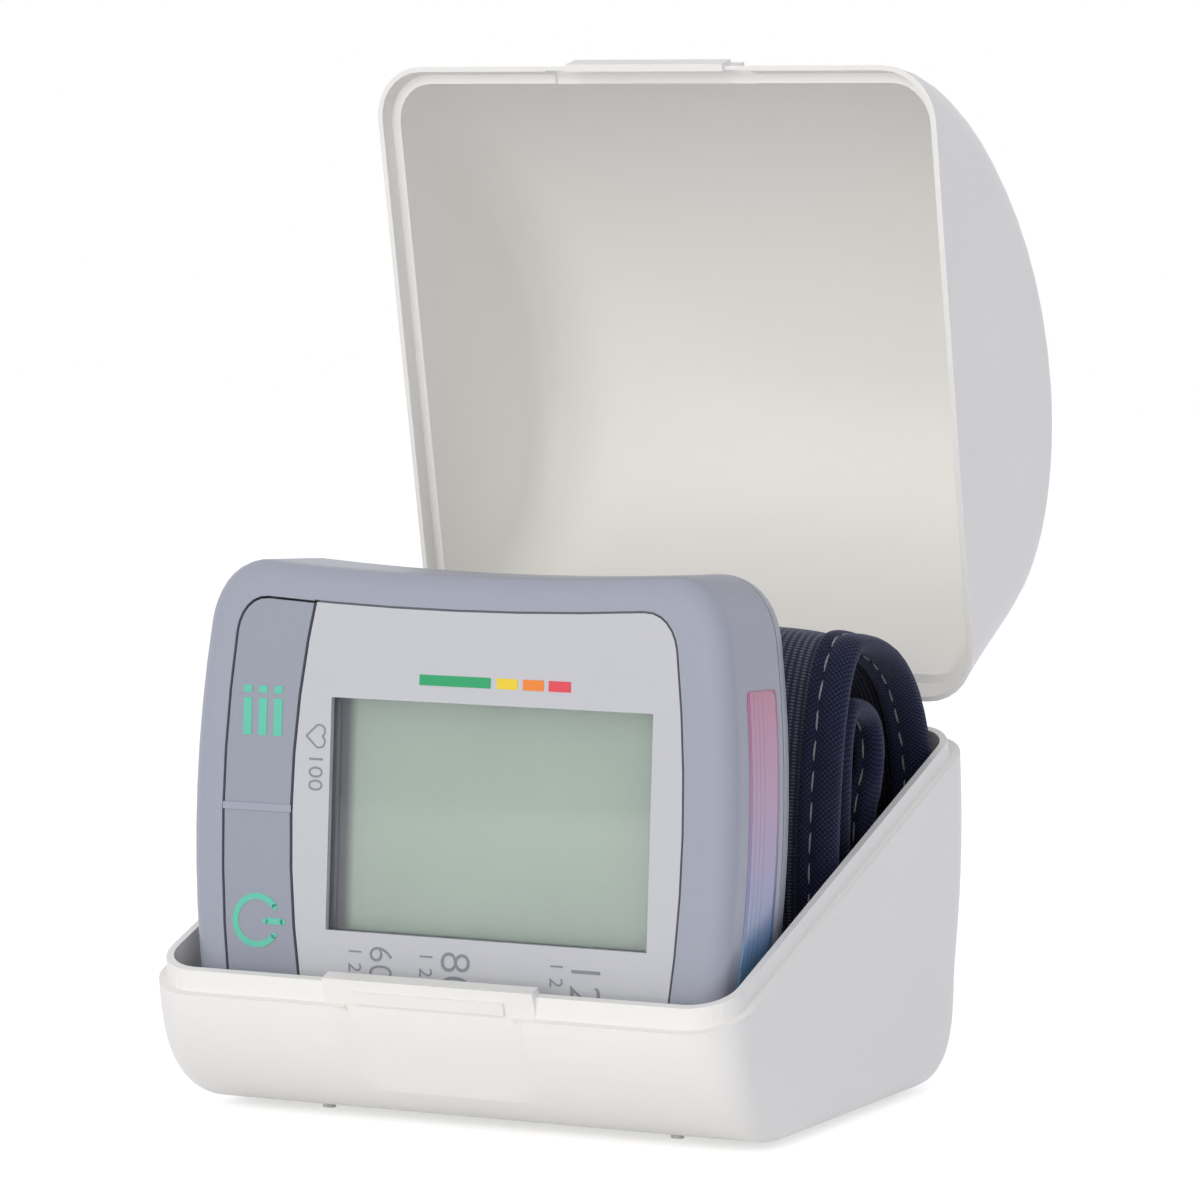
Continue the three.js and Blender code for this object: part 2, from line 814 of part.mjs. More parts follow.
// A rounded oblong whose ends bulge and whose top and bottom edges are drawn in.
function waisted(halfWidth, halfHeight, corner, bulge, waist, divisions) {
  const path = new THREE.Path();
  const endX = halfWidth - bulge;
  const endZ = halfHeight - corner;
  const topX = endX - corner;
  const endPull = halfWidth + bulge;
  const topPull = halfHeight - waist * 2;
  const reach = corner * 0.56;
  const endTangent = new THREE.Vector2(endX - endPull, endZ).normalize();
  const topTangent = new THREE.Vector2(topX, halfHeight - topPull).normalize();
  path.moveTo(endX, -endZ);
  path.quadraticCurveTo(endPull, 0, endX, endZ);
  const corners = [
    [1, 1],
    [-1, 1],
    [-1, -1],
    [1, -1],
  ];
  corners.forEach(([sx, sz], i) => {
    const end = new THREE.Vector2(sx * endX, sz * endZ);
    const top = new THREE.Vector2(sx * topX, sz * halfHeight);
    const sides = new THREE.Vector2(sx, sz);
    const endHandle = end.clone().addScaledVector(endTangent.clone().multiply(sides), reach);
    const topHandle = top.clone().addScaledVector(topTangent.clone().multiply(sides), reach);
    if (i % 2 === 0) {
      path.bezierCurveTo(endHandle.x, endHandle.y, topHandle.x, topHandle.y, top.x, top.y);
      path.quadraticCurveTo(0, sz * topPull, -top.x, top.y);
    } else {
      path.bezierCurveTo(topHandle.x, topHandle.y, endHandle.x, endHandle.y, end.x, end.y);
      if (i === 1) path.quadraticCurveTo(-endPull, 0, end.x, -end.y);
    }
  });
  const points = path.getPoints(divisions);
  return points.filter((point, i) => !i || point.distanceTo(points[i - 1]) > mergeDistance).slice(0, -1);
}

function roundedOblong(halfWidth, halfHeight, corner, x = 0, z = 0) {
  const shape = new THREE.Path();
  for (const [i, [sx, sz]] of [
    [1, 1],
    [-1, 1],
    [-1, -1],
    [1, -1],
  ].entries()) {
    const cx = x + sx * (halfWidth - corner);
    const cz = z + sz * (halfHeight - corner);
    shape.absarc(cx, cz, corner, (i * Math.PI) / 2, ((i + 1) * Math.PI) / 2, false);
  }
  return shape.getPoints(4).slice(0, -1);
}

// The body's outline moved inwards, with its corners kept round.
function bodyRing(inwards) {
  const corner = Math.max(bodyCorner - inwards, bodyWall / 2);
  return waisted(bodyHalfWidth - inwards, bodyHalfHeight - inwards, corner, bodyBulge, bodyWaist, 9);
}

// The body's outline carried back, moved inwards by a given amount at each depth.
function stacked(levels) {
  const rings = levels.map(([inwards, depth]) =>
    bodyRing(inwards).map((point) => new THREE.Vector3(point.x, depth, point.y)),
  );
  return skin(rings, (point) => new THREE.Vector2(point.x, point.z));
}

const inlayOutline = waisted(
  inlayHalfWidth,
  inlayHalfHeight,
  inlayCorner,
  inlayBulge,
  inlayWaist,
  6,
).map((point) => new THREE.Vector2(point.x + inlayShift, point.y));

// Depths of the cuff's seat and mount
const seatDepth = bodyDepth + seatRise;
const mountFront = seatDepth + fitGap;
const mountBack = mountFront + mountThickness;

function quarterRound(radius, depth, towards, steps) {
  const levels = [];
  for (let i = 0; i <= steps; i += 1) {
    const turn = (i / steps) * (Math.PI / 2);
    levels.push([radius * (1 - Math.sin(turn)), depth + towards * radius * (1 - Math.cos(turn))]);
  }
  return levels;
}

// The half of the inlay left or right of the buttons' inner edge, moved away from that edge by a gap.
function inlaySide(side, gap) {
  const steps = 10;
  const tall = inlayHalfHeight + overrun;
  const edge = [];
  for (let i = 0; i <= steps; i += 1) {
    const z = tall * ((2 * i) / steps - 1);
    const bow = boundaryRise * (z / inlayHalfHeight) ** 2;
    edge.push(new THREE.Vector2(boundaryMiddle + bow + side * gap, z));
  }
  const far = side * (inlayHalfWidth + overrun * 2);
  return [...edge, new THREE.Vector2(far, tall), new THREE.Vector2(far, -tall)];
}

function inlayPrism(shrink, front, back) {
  return plate(inset(inlayOutline, shrink), front, back);
}

function buttonOpening(margin, front, back) {
  return inlayPrism(-margin, front, back).intersect(plate(inlaySide(-1, -margin), front, back));
}

function screwPlaces() {
  return [-screwSpreadX, screwSpreadX].flatMap((x) => [-screwSpreadZ, screwSpreadZ].map((z) => [x, z]));
}

// The end of the body that the battery door takes up, open to the back so that the door slides off.
function doorBlock(margin) {
  return block(
    -bodyHalfWidth - overrun,
    -bodyHalfWidth + bodyBulge + bodyWall + margin,
    doorFront - margin,
    bodyDepth + overrun,
    -doorHalfHeight - margin,
    doorHalfHeight + margin,
  );
}

function bodySolid() {
  const front = quarterRound(frontEdge, 0, 1, 4);
  const back = quarterRound(backEdge, bodyDepth, -1, 5).reverse();
  return stacked([...front, ...back]);
}

// Both halves of the housing in one, before the seam parts them.
function bodyShell() {
  const inner = quarterRound(backEdge - bodyWall, bodyDepth - bodyWall, -1, 2).reverse();
  const hollow = stacked([
    [bodyWall, faceWall],
    ...inner.map(([inwards, depth]) => [inwards + bodyWall, depth]),
  ]);
  return cut(bodySolid(), hollow);
}

function slab(front, back) {
  const half = bodyHalfWidth + overrun;
  return block(-half, half, front, back, -half, half);
}

function frontHousing() {
  const behindButtons = faceWall + fitGap + buttonFlangeDepth + buttonTravel + fitGap;
  const bosses = screwPlaces().map(([x, z]) =>
    rodY(bossRadius, x < 0 ? behindButtons : faceWall - fitGap, seamDepth - fitGap, x, z),
  );
  const ribs = screwPlaces().map(([x, z]) =>
    block(
      x - bodyWall / 2,
      x + bodyWall / 2,
      behindButtons,
      seamDepth - bodyWall - fitGap,
      Math.min(z, Math.sign(z) * bodyHalfHeight),
      Math.max(z, Math.sign(z) * bodyHalfHeight),
    ).intersect(bodySolid()),
  );
  const bores = screwPlaces().map(([x, z]) =>
    rodY(screwRadius + fitGap, seamDepth - screwLength, seamDepth + overrun, x, z, 14),
  );
  const recess = inlayPrism(-fitGap / 2, -overrun, recessDepth).intersect(
    plate(inlaySide(1, -fitGap), -overrun, recessDepth),
  );
  const panePocket = block(
    windowShift - windowWidth / 2 - paneMargin - fitGap,
    windowShift + windowWidth / 2 + paneMargin + fitGap,
    -overrun,
    paneBack + panelSeat,
    -windowHeight / 2 - paneMargin - fitGap,
    windowHeight / 2 + paneMargin + fitGap,
  );
  const windowHole = block(
    windowShift - windowWidth / 2,
    windowShift + windowWidth / 2,
    -overrun,
    faceWall + overrun,
    -windowHeight / 2,
    windowHeight / 2,
  );
  return cut(
    join(bodyShell().intersect(slab(-overrun, seamDepth)), ...bosses, ...ribs),
    ...bores,
    recess,
    panePocket.intersect(inlayPrism(0, -overrun, faceWall)),
    windowHole.intersect(inlayPrism(0, -overrun, faceWall + fitGap)),
    buttonOpening(0, -overrun, faceWall + fitGap),
    doorBlock(fitGap),
  );
}

function displayPanel() {
  const sheet = inlayPrism(fitGap / 2, 0, panelThickness).intersect(
    plate(inlaySide(1, fitGap / 2), 0, panelThickness),
  );
  const opening = block(
    windowShift - windowWidth / 2,
    windowShift + windowWidth / 2,
    -overrun,
    overrun,
    -windowHeight / 2,
    windowHeight / 2,
  );
  return cut(sheet, opening);
}

function windowBlock(margin, front, back) {
  return block(
    windowShift - windowWidth / 2 - margin,
    windowShift + windowWidth / 2 + margin,
    front,
    back,
    -windowHeight / 2 - margin,
    windowHeight / 2 + margin,
  );
}

// One button cap, with the flange behind the face that holds it in and the plunger over its switch.
function button(side) {
  const capBack = faceWall + fitGap;
  const half = block(
    -inlayHalfWidth - overrun,
    0,
    -overrun,
    overrun,
    side > 0 ? buttonSplit + buttonGap / 2 : -inlayHalfHeight - overrun,
    side > 0 ? inlayHalfHeight + overrun : buttonSplit - buttonGap / 2,
  );
  const cap = buttonOpening(-buttonGap, buttonSink, capBack + buttonFlangeDepth);
  const flange = buttonOpening(buttonFlange, capBack, capBack + buttonFlangeDepth);
  const flangeRoom = bodyRoom(faceWall, boardFront).intersect(flange);
  const plunger = rodY(
    plungerRadius,
    capBack + buttonFlangeDepth / 2,
    capBack + buttonFlangeDepth + plungerLength,
    buttonCentre,
    side * buttonMiddle,
  );
  const ledge = cut(flangeRoom, windowBlock(glassMargin + fitGap * 2, 0, boardFront));
  return join(join(cap, ledge).intersect(half), plunger);
}

// The room inside the front housing's walls.
function bodyRoom(front, back) {
  return plate(bodyRing(bodyWall + fitGap), front, back);
}

function pushSwitch(side) {
  const back = boardFront - panelSeat;
  const body = block(
    buttonCentre - switchSide / 2,
    buttonCentre + switchSide / 2,
    back - switchHeight,
    back,
    side * buttonMiddle - switchSide / 2,
    side * buttonMiddle + switchSide / 2,
  );
  const tip = faceWall + fitGap + buttonFlangeDepth + plungerLength + buttonTravel + panelSeat;
  const cap = rodY(switchCapRadius, tip, back - switchHeight / 2, buttonCentre, side * buttonMiddle);
  return join(body, cap);
}

function displayFrame() {
  const whole = windowBlock(glassMargin + frameMargin, frameFront, frameBack);
  const light = windowBlock(-frameLedge, frameFront - overrun, frameBack - frameLedge / 2);
  const zebraRoom = block(
    windowShift - windowWidth / 2,
    windowShift + windowWidth / 2,
    frameFront - overrun,
    frameBack + overrun,
    -windowHeight / 2 - glassMargin + fitGap,
    -windowHeight / 2 - glassMargin + fitGap * 3 + zebraThickness,
  );
  return cut(whole, light, zebraRoom);
}

function zebraStrip() {
  return block(
    windowShift - windowWidth / 2 + fitGap,
    windowShift + windowWidth / 2 - fitGap,
    frameFront,
    frameBack,
    -windowHeight / 2 - glassMargin + fitGap * 2,
    -windowHeight / 2 - glassMargin + fitGap * 2 + zebraThickness,
  );
}

function circuitBoard() {
  return plate(roundedOblong(boardHalfWidth, boardHalfHeight, boardCorner), boardFront, boardBack);
}

// Cells stand upright side by side behind the door on the left end.
const cellPlaces = [1, 3].map((share) => -trayEnd + cellRadius * share + cellGap * share);
const contactInner = cellLength / 2 + cellNubLength + panelSeat;

function batteryCell(x) {
  const half = cellLength / 2;
  const up = x === cellPlaces[0] ? 1 : -1;
  const nub0 = up > 0 ? half - cellNubLength : -half - cellNubLength;
  const nub1 = up > 0 ? half + cellNubLength : cellNubLength - half;
  const can = rodZ(cellRadius, -half, half, x, cellDepth, 24);
  return join(can, rodZ(cellNubRadius, nub0, nub1, x, cellDepth, 14));
}

// A sheet metal contact at one end of the bay, with a sprung dome at the flat end of one cell.
function batteryContact(side) {
  const sprung = side > 0 ? cellPlaces[1] : cellPlaces[0];
  const x0 = cellPlaces[0] - cellRadius / 2;
  const x1 = cellPlaces[1] + cellRadius / 2;
  const inner = contactInner + contactSpring - cellNubLength;
  const [z0, z1] = side > 0 ? [inner, inner + contactThickness] : [-inner - contactThickness, -inner];
  const half = cellRadius - cellGap * 2;
  const sheet = block(x0, x1, cellDepth - half, cellDepth + half, z0, z1);
  const reach = inner - cellLength / 2 - panelSeat;
  const cone = new THREE.CylinderGeometry(
    side > 0 ? springRadius : springRadius / 2,
    side > 0 ? springRadius / 2 : springRadius,
    reach,
    16,
  );
  cone.rotateX(Math.PI / 2);
  cone.translate(sprung, cellDepth, side * (inner + contactThickness / 2 - reach / 2));
  return join(sheet, solid(cone));
}

// The bay's walls are moulded onto the back cover and open towards the door.
const bayEnd = contactInner + contactSpring - cellNubLength + contactThickness + panelSeat;

function bayRoom() {
  return block(
    -trayEnd - fitGap,
    bayInside,
    trayFront + trayWall,
    cellDepth + cellRadius + fitGap,
    -bayEnd,
    bayEnd,
  );
}

function batteryTray() {
  const outer = block(
    -trayEnd,
    bayInside + trayWall,
    trayFront,
    bodyDepth - bodyWall / 2,
    -bayEnd - trayWall,
    bayEnd + trayWall,
  );
  return cut(outer.intersect(bodySolid()), bayRoom());
}

function rearHousing() {
  const start = seamDepth + seamGap;
  const shell = bodyShell().intersect(slab(start, bodyDepth + overrun));
  const tongueOuter = stacked([
    [bodyWall + fitGap, seamDepth - bodyWall],
    [bodyWall + fitGap, seamDepth + bodyWall],
  ]);
  const tongueInner = stacked([
    [bodyWall * 2, seamDepth - overrun],
    [bodyWall * 2, seamDepth + overrun],
  ]);
  const tongueTie = stacked([
    [bodyWall / 2, start],
    [bodyWall / 2, start + bodyWall],
  ]);
  const tongue = cut(join(tongueOuter, tongueTie), tongueInner, bayRoom());
  const towers = screwPlaces().map(([x, z]) =>
    rodY(screwHeadRadius + fitGap + trayWall, start, bodyDepth, x, z).intersect(bodySolid()),
  );
  const holes = screwPlaces().flatMap(([x, z]) => [
    rodY(screwRadius + fitGap, start - overrun, bodyDepth + overrun, x, z, 14),
    rodY(screwHeadRadius + fitGap, bodyDepth - screwSink - fitGap, bodyDepth + overrun, x, z),
  ]);
  const bossRoom = screwPlaces().map(([x, z]) => rodY(bossRadius + fitGap, 0, start, x, z));
  const seated = cut(join(shell, tongue, ...towers, cuffSeat()), seatHollow());
  const opened = cut(
    seated,
    ...holes,
    ...bossRoom,
    ...mountSlots(),
    tubeHole(),
    doorBlock(fitGap),
  );
  return join(opened, batteryTray());
}

// The raised seat of the cuff's mount, hollow from inside beside the battery bay.
function cuffSeat() {
  const wide = roundedOblong(seatHalfWidth, seatHalfHeight, seatCorner);
  return plate(wide, bodyDepth - bodyWall / 2, seatDepth);
}

function seatHollow() {
  const across = seatHalfWidth - bodyWall;
  const room = plate(
    roundedOblong(across, seatHalfHeight - bodyWall, seatCorner - bodyWall),
    bodyDepth - bodyWall * 2,
    seatDepth - bodyWall,
  );
  return room.intersect(block(bayInside + trayWall, across + overrun, 0, seatDepth, -across, across));
}

function mountSlots() {
  return [-1, 1].map((side) =>
    block(
      -hookHalfWidth - fitGap,
      hookHalfWidth + fitGap,
      seatDepth - bodyWall - overrun / 2,
      seatDepth + overrun,
      side * (mountHalfHeight - mountCorner) - mountHook / 2 - fitGap,
      side * (mountHalfHeight - mountCorner) + mountHook / 2 + fitGap,
    ),
  );
}

function tubeHole() {
  return rodY(tubeRadius + tubeEase, bodyDepth - bodyWall * 2, mountBack + overrun, tubeExit, tubeLevel);
}

function batteryDoor() {
  const patch = bodyShell().intersect(doorBlock(0));
  const wallInner = -bodyHalfWidth + bodyWall;
  const ribs = [-1, 1].map((side) =>
    block(
      wallInner - bodyWall / 2,
      -trayEnd - fitGap * 2,
      trayFront + trayWall + fitGap,
      trayFront + trayWall + fitGap + doorRibWall,
      side * doorRibPlace - doorRibWidth / 2,
      side * doorRibPlace + doorRibWidth / 2,
    ),
  );
  return join(patch, ...ribs);
}

function crossBar(x, z, wide, high, front) {
  return block(x - wide / 2, x + wide / 2, front, front + overrun, z - high / 2, z + high / 2);
}

function housingScrew([x, z]) {
  const headBack = bodyDepth - screwSink + screwHeadHeight;
  const head = rodY(screwHeadRadius, bodyDepth - screwSink, headBack, x, z);
  const tip = seamDepth - screwLength + fitGap * 2;
  const shank = rodY(screwRadius, tip, headBack - screwHeadHeight / 2, x, z, 12);
  const crossLong = screwHeadRadius * 1.2;
  const crossWide = screwRadius * 0.5;
  const floor = headBack - screwHeadHeight / 2;
  const drive = join(
    crossBar(x, z, crossLong, crossWide, floor),
    crossBar(x, z, crossWide, crossLong, floor),
  );
  return cut(join(head, shank), drive);
}

// Pump, valve and air line, behind the board

const pumpDepth = boardBack + fitGap + headSide / 2;
const headBottom = pumpBottom + motorLength + fitGap;
const headTop = headBottom + headLength;
const buzzerMiddle = headTop + buzzerStep;
const tubeStart = headTop + nippleLength + fitGap;
const tubeLevel = tubeStart - tubeFall;

function pumpMotor() {
  const top = pumpBottom + motorLength - shaftLength;
  const body = rodZ(motorRadius, pumpBottom, top, pumpShift, pumpDepth, 24);
  const shaft = rodZ(
    shaftRadius,
    pumpBottom + motorLength - shaftLength * 2,
    pumpBottom + motorLength,
    pumpShift,
    pumpDepth,
    12,
  );
  const can = join(body, shaft);
  const flats = [-1, 1].map((side) =>
    block(
      pumpShift - overrun,
      pumpShift + overrun,
      side > 0 ? pumpDepth + motorRadius * 0.88 : pumpDepth - overrun,
      side > 0 ? pumpDepth + overrun : pumpDepth - motorRadius * 0.88,
      pumpBottom - overrun,
      pumpBottom + motorLength + overrun,
    ),
  );
  return cut(can, ...flats);
}

function pumpHead() {
  const body = plate(
    roundedOblong(headSide / 2, headLength / 2, nippleRadius, pumpShift, (headBottom + headTop) / 2),
    boardBack + fitGap,
    boardBack + fitGap + headSide,
  );
  const spoutTop = headTop + nippleLength;
  const spout = rodZ(nippleRadius, headTop - nippleRadius, spoutTop, pumpShift, pumpDepth, 14);
  return join(body, spout);
}

const valveDepth = boardBack + fitGap + valveRadius;
const valveTop = valveBottom + valveLength;

function exhaustValve() {
  const body = rodZ(valveRadius, valveBottom, valveTop, valveShift, valveDepth, 24);
  const neckTop = valveTop + nippleLength;
  const neck = rodZ(nippleRadius, valveTop - nippleRadius, neckTop, valveShift, valveDepth, 14);
  return join(body, neck);
}

const sensorShift = valveShift;
const sensorMiddle = headTop + nippleLength + tubeBend;

function pressureSensor() {
  const body = block(
    sensorShift - sensorSide / 2,
    sensorShift + sensorSide / 2,
    boardBack + fitGap,
    boardBack + fitGap + sensorThickness,
    sensorMiddle - sensorSide / 2,
    sensorMiddle + sensorSide / 2,
  );
  const neck = rodY(
    nippleRadius,
    boardBack + sensorThickness,
    boardBack + fitGap + sensorThickness + nippleLength,
    sensorShift,
    sensorMiddle,
    14,
  );
  return join(body, neck);
}

function processorChip() {
  return block(
    chipShift - chipSide / 2,
    chipShift + chipSide / 2,
    boardBack + fitGap,
    boardBack + fitGap + chipThickness,
    chipMiddle - chipSide / 2,
    chipMiddle + chipSide / 2,
  );
}

function buzzer() {
  const front = boardBack + fitGap;
  const can = rodY(buzzerRadius, front, front + buzzerHeight, pumpShift, buzzerMiddle, 24);
  const inner = front + buzzerHeight / 2;
  return cut(can, rodY(nippleRadius, inner, inner + buzzerHeight, pumpShift, buzzerMiddle, 14));
}

// A tube of round section carried along a path.
function tube(path, steps) {
  const points = Array.from({ length: tubeSides }, (_, i) =>
    new THREE.Vector2(tubeRadius, 0).rotateAround(new THREE.Vector2(), (i / tubeSides) * Math.PI * 2),
  );
  const geometry = new THREE.ExtrudeGeometry(new THREE.Shape(points), {
    steps,
    extrudePath: path,
    bevelEnabled: false,
  });
  return solid(geometry);
}

// The air line runs from the pump's spout over the valve to the hole behind it, and into the cuff's mount.
function airTube() {
  const path = new THREE.CatmullRomCurve3(
    [
      new THREE.Vector3(pumpShift, pumpDepth, tubeStart),
      new THREE.Vector3(pumpShift, pumpDepth, tubeStart + tubeRadius),
      new THREE.Vector3(pumpShift + tubeBend, pumpDepth + tubeRadius / 2, tubeStart + tubeBend),
      new THREE.Vector3(tubeExit - tubeBend, pumpDepth + tubeRadius, tubeStart),
      new THREE.Vector3(tubeExit, pumpDepth + tubeBend, tubeLevel + tubeRadius / 2),
      new THREE.Vector3(tubeExit, bodyDepth - bodyWall, tubeLevel),
      new THREE.Vector3(tubeExit, mountBack, tubeLevel),
    ],
    false,
    "centripetal",
  );
  return tube(path, tubeSteps);
}

// Cuff, as (Y, Z) points seen from its right end

const cuffFront = mountBack - bindingThickness;
const cuffBack = cuffFront + cuffSpan;
const cuffCrown = cuffFront + cuffSpan * cuffCrownShare;
const cuffFloor = cuffFront + cuffSpan * cuffFloorShare;

function cuffOutline() {
  const path = new THREE.Path();
  const up = cuffTop - cuffWaist;
  const down = cuffWaist - cuffBottom;
  path.moveTo(cuffFront, cuffWaist);
  path.bezierCurveTo(
    cuffFront,
    cuffWaist + up * 0.8,
    cuffCrown - (cuffCrown - cuffFront) * 0.62,
    cuffTop,
    cuffCrown,
    cuffTop,
  );
  path.bezierCurveTo(
    cuffCrown + (cuffBack - cuffCrown) * 0.47,
    cuffTop,
    cuffBack,
    cuffWaist + up * 0.56,
    cuffBack,
    cuffWaist,
  );
  path.bezierCurveTo(
    cuffBack,
    cuffWaist - down * 0.55,
    cuffFloor + (cuffBack - cuffFloor) * 0.5,
    cuffBottom,
    cuffFloor,
    cuffBottom,
  );
  path.bezierCurveTo(
    cuffFloor - (cuffFloor - cuffFront) * 0.6,
    cuffBottom,
    cuffFront,
    cuffWaist - down * 0.62,
    cuffFront,
    cuffWaist,
  );
  return path.getPoints(9).slice(0, -1);
}

function cuffRing(outer, inner, halfWidth) {
  const outline = cuffOutline();
  const hole = bar(smoothInset(outline, inner), -halfWidth - overrun, halfWidth + overrun);
  return cut(bar(smoothInset(outline, outer), -halfWidth, halfWidth), hole);
}

const bladderInset = bindingThickness + fitGap + fabricThickness + fitGap;
const liningInset = bladderInset + bladderThickness + fitGap;
const cuffThickness = liningInset + fabricThickness + fitGap + bindingThickness;

function cuffOuter() {
  const outside = bindingThickness + fitGap;
  return cuffRing(outside, outside + fabricThickness, cuffHalfWidth - outside);
}

function cuffLining() {
  return cuffRing(liningInset, liningInset + fabricThickness, cuffHalfWidth - bindingThickness - fitGap);
}

function airBladder() {
  const ring = cuffRing(bladderInset, bladderInset + bladderThickness, bladderHalfWidth);
  const far = cuffBack + overrun;
  const end = cuffFront + bladderRun;
  const beyond = block(-caseWidth, caseWidth, end, far, cuffBottom - overrun, cuffTop + overrun);
  return cut(ring, beyond);
}

// The tape folded over one edge of the cuff.
function cuffBinding(side) {
  const outer = cuffRing(0, cuffThickness, cuffHalfWidth);
  const depth = cuffThickness - bindingThickness;
  const room = cuffRing(bindingThickness, depth, cuffHalfWidth - bindingThickness);
  const kept = cuffHalfWidth - bindingWidth;
  const far = caseWidth;
  const rest = block(
    side > 0 ? -far : -kept,
    side > 0 ? kept : far,
    0,
    cuffBack + overrun,
    cuffBottom - overrun,
    cuffTop + overrun,
  );
  return cut(outer, room, rest);
}

const tailFront = cuffFront + cuffThickness + tailEase;
const tailBack = tailFront + tailSpan;

function tailPath(offset) {
  const front = tailFront + offset;
  const back = tailBack - offset;
  const top = tailTop - offset;
  const crown = (tailFront * 2 + tailBack) / 3;
  const bend = tailTop - (tailBack - tailFront) * tailBendShare;
  const path = new THREE.Path();
  path.moveTo(front, tailFoot);
  path.lineTo(front, bend);
  const shoulderHeight = top - (top - bend) * 0.3;
  path.bezierCurveTo(front, shoulderHeight, crown - (crown - front) * 0.6, top, crown, top);
  path.bezierCurveTo(crown + (back - crown) * 0.6, top, back, shoulderHeight, back, bend);
  path.lineTo(back, tailBackFoot);
  return path.getPoints(8);
}

// The free end, tucked inside the loop.
function cuffTail() {
  return bar([...tailPath(0), ...tailPath(tailThickness).reverse()], -tailHalfWidth, tailHalfWidth);
}

function hookPatch() {
  return block(
    -hookPatchHalfWidth,
    hookPatchHalfWidth,
    tailBack + fitGap,
    tailBack + fitGap + hookPatchThickness,
    hookPatchBottom,
    hookPatchTop,
  );
}

function cuffMount() {
  const body = plate(roundedOblong(mountHalfWidth, mountHalfHeight, mountCorner), mountFront, mountBack);
  const hooks = [-1, 1].map((side) =>
    block(
      -hookHalfWidth,
      hookHalfWidth,
      seatDepth - bodyWall - mountHook,
      mountFront + mountThickness / 2,
      side * (mountHalfHeight - mountCorner) - mountHook / 2,
      side * (mountHalfHeight - mountCorner) + mountHook / 2,
    ),
  );
  return cut(join(body, ...hooks), tubeHole());
}

// The whole object

const assembly = new THREE.Group();

const hinge = fromRim(hingeAlong, hingeRise);
const lid = new THREE.Group();
lid.position.set(0, hinge.x, hinge.y);
lid.rotation.x = rimSlope - openAngle;
const lidMesh = piece("case_lid", caseLid(), whitePlastic);
lidMesh.geometry.translate(0, -hingeAlong, -hingeRise);
lid.add(lidMesh);

const monitor = new THREE.Group();
monitor.position.set(0, faceY, faceZ);
monitor.rotation.x = -lean;
monitor.add(
  piece("front_housing", frontHousing(), greyPlastic),
  piece("rear_housing", rearHousing(), greyPlastic),
  piece("display_panel", displayPanel(), panelWhite),
  piece("display_window", windowBlock(paneMargin, paneFront, paneBack), clearPlastic),
  piece("lcd_glass", windowBlock(glassMargin, glassFront, glassBack), displayGreen),
  piece("lcd_frame", displayFrame(), blackPlastic),
  piece("zebra_strip", zebraStrip(), rubberGrey),
  piece("memory_button", button(1), buttonGrey),
  piece("power_button", button(-1), buttonGrey),
  piece("memory_switch", pushSwitch(1), blackPlastic),
  piece("power_switch", pushSwitch(-1), blackPlastic),
  piece("circuit_board", circuitBoard(), boardGreen),
  piece("battery_cell_1", batteryCell(cellPlaces[0]), cellBlue),
  piece("battery_cell_2", batteryCell(cellPlaces[1]), cellBlue),
  piece("battery_contact_top", batteryContact(1), steel),
  piece("battery_contact_bottom", batteryContact(-1), steel),
  piece("battery_door", batteryDoor(), greyPlastic),
  piece("pump_motor", pumpMotor(), steel),
  piece("pump_head", pumpHead(), blackPlastic),
  piece("exhaust_valve", exhaustValve(), brass),
  piece("pressure_sensor", pressureSensor(), blackPlastic),
  piece("processor_chip", processorChip(), blackPlastic),
  piece("buzzer", buzzer(), blackPlastic),
  piece("air_tube", airTube(), rubberGrey),
  piece("cuff_mount", cuffMount(), blackPlastic),
  piece("cuff_outer_fabric", cuffOuter(), greyKnit),
  piece("cuff_lining", cuffLining(), navyFabric),
  piece("air_bladder", airBladder(), rubberGrey),
  piece("cuff_binding_left", cuffBinding(-1), navyFabric),
  piece("cuff_binding_right", cuffBinding(1), navyFabric),
  piece("cuff_tail", cuffTail(), navyFabric),
  piece("hook_patch", hookPatch(), greyKnit),
);
screwPlaces().forEach((place, i) => {
  monitor.add(piece(`housing_screw_${i + 1}`, housingScrew(place), steel));
});

assembly.add(piece("case_base", caseBase(), whitePlastic), lid, monitor);

// The origin is under the middle of the whole object.
const bounds = new THREE.Box3().setFromObject(assembly, true);
const middle = bounds.getCenter(new THREE.Vector3());
assembly.position.set(-middle.x, -middle.y, -bounds.min.z);

export default assembly;
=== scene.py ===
# %% [markdown]
# A wrist blood pressure monitor stands in its open storage case.
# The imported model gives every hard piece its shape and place. This script gives the pieces their finish,
# makes the cuff as padded cloth with taped and stitched edges, prints the signs, and sets up a plain studio.
# Blender works in metres. The object's lengths are typed in millimetres and multiplied by MM, and the places
# of the camera and the lamps are typed in metres.

# %% The frame
import json
import math

import bmesh
import bpy
from mathutils import Matrix, Vector, noise
from mathutils.bvhtree import BVHTree
from mathutils.geometry import interpolate_bezier

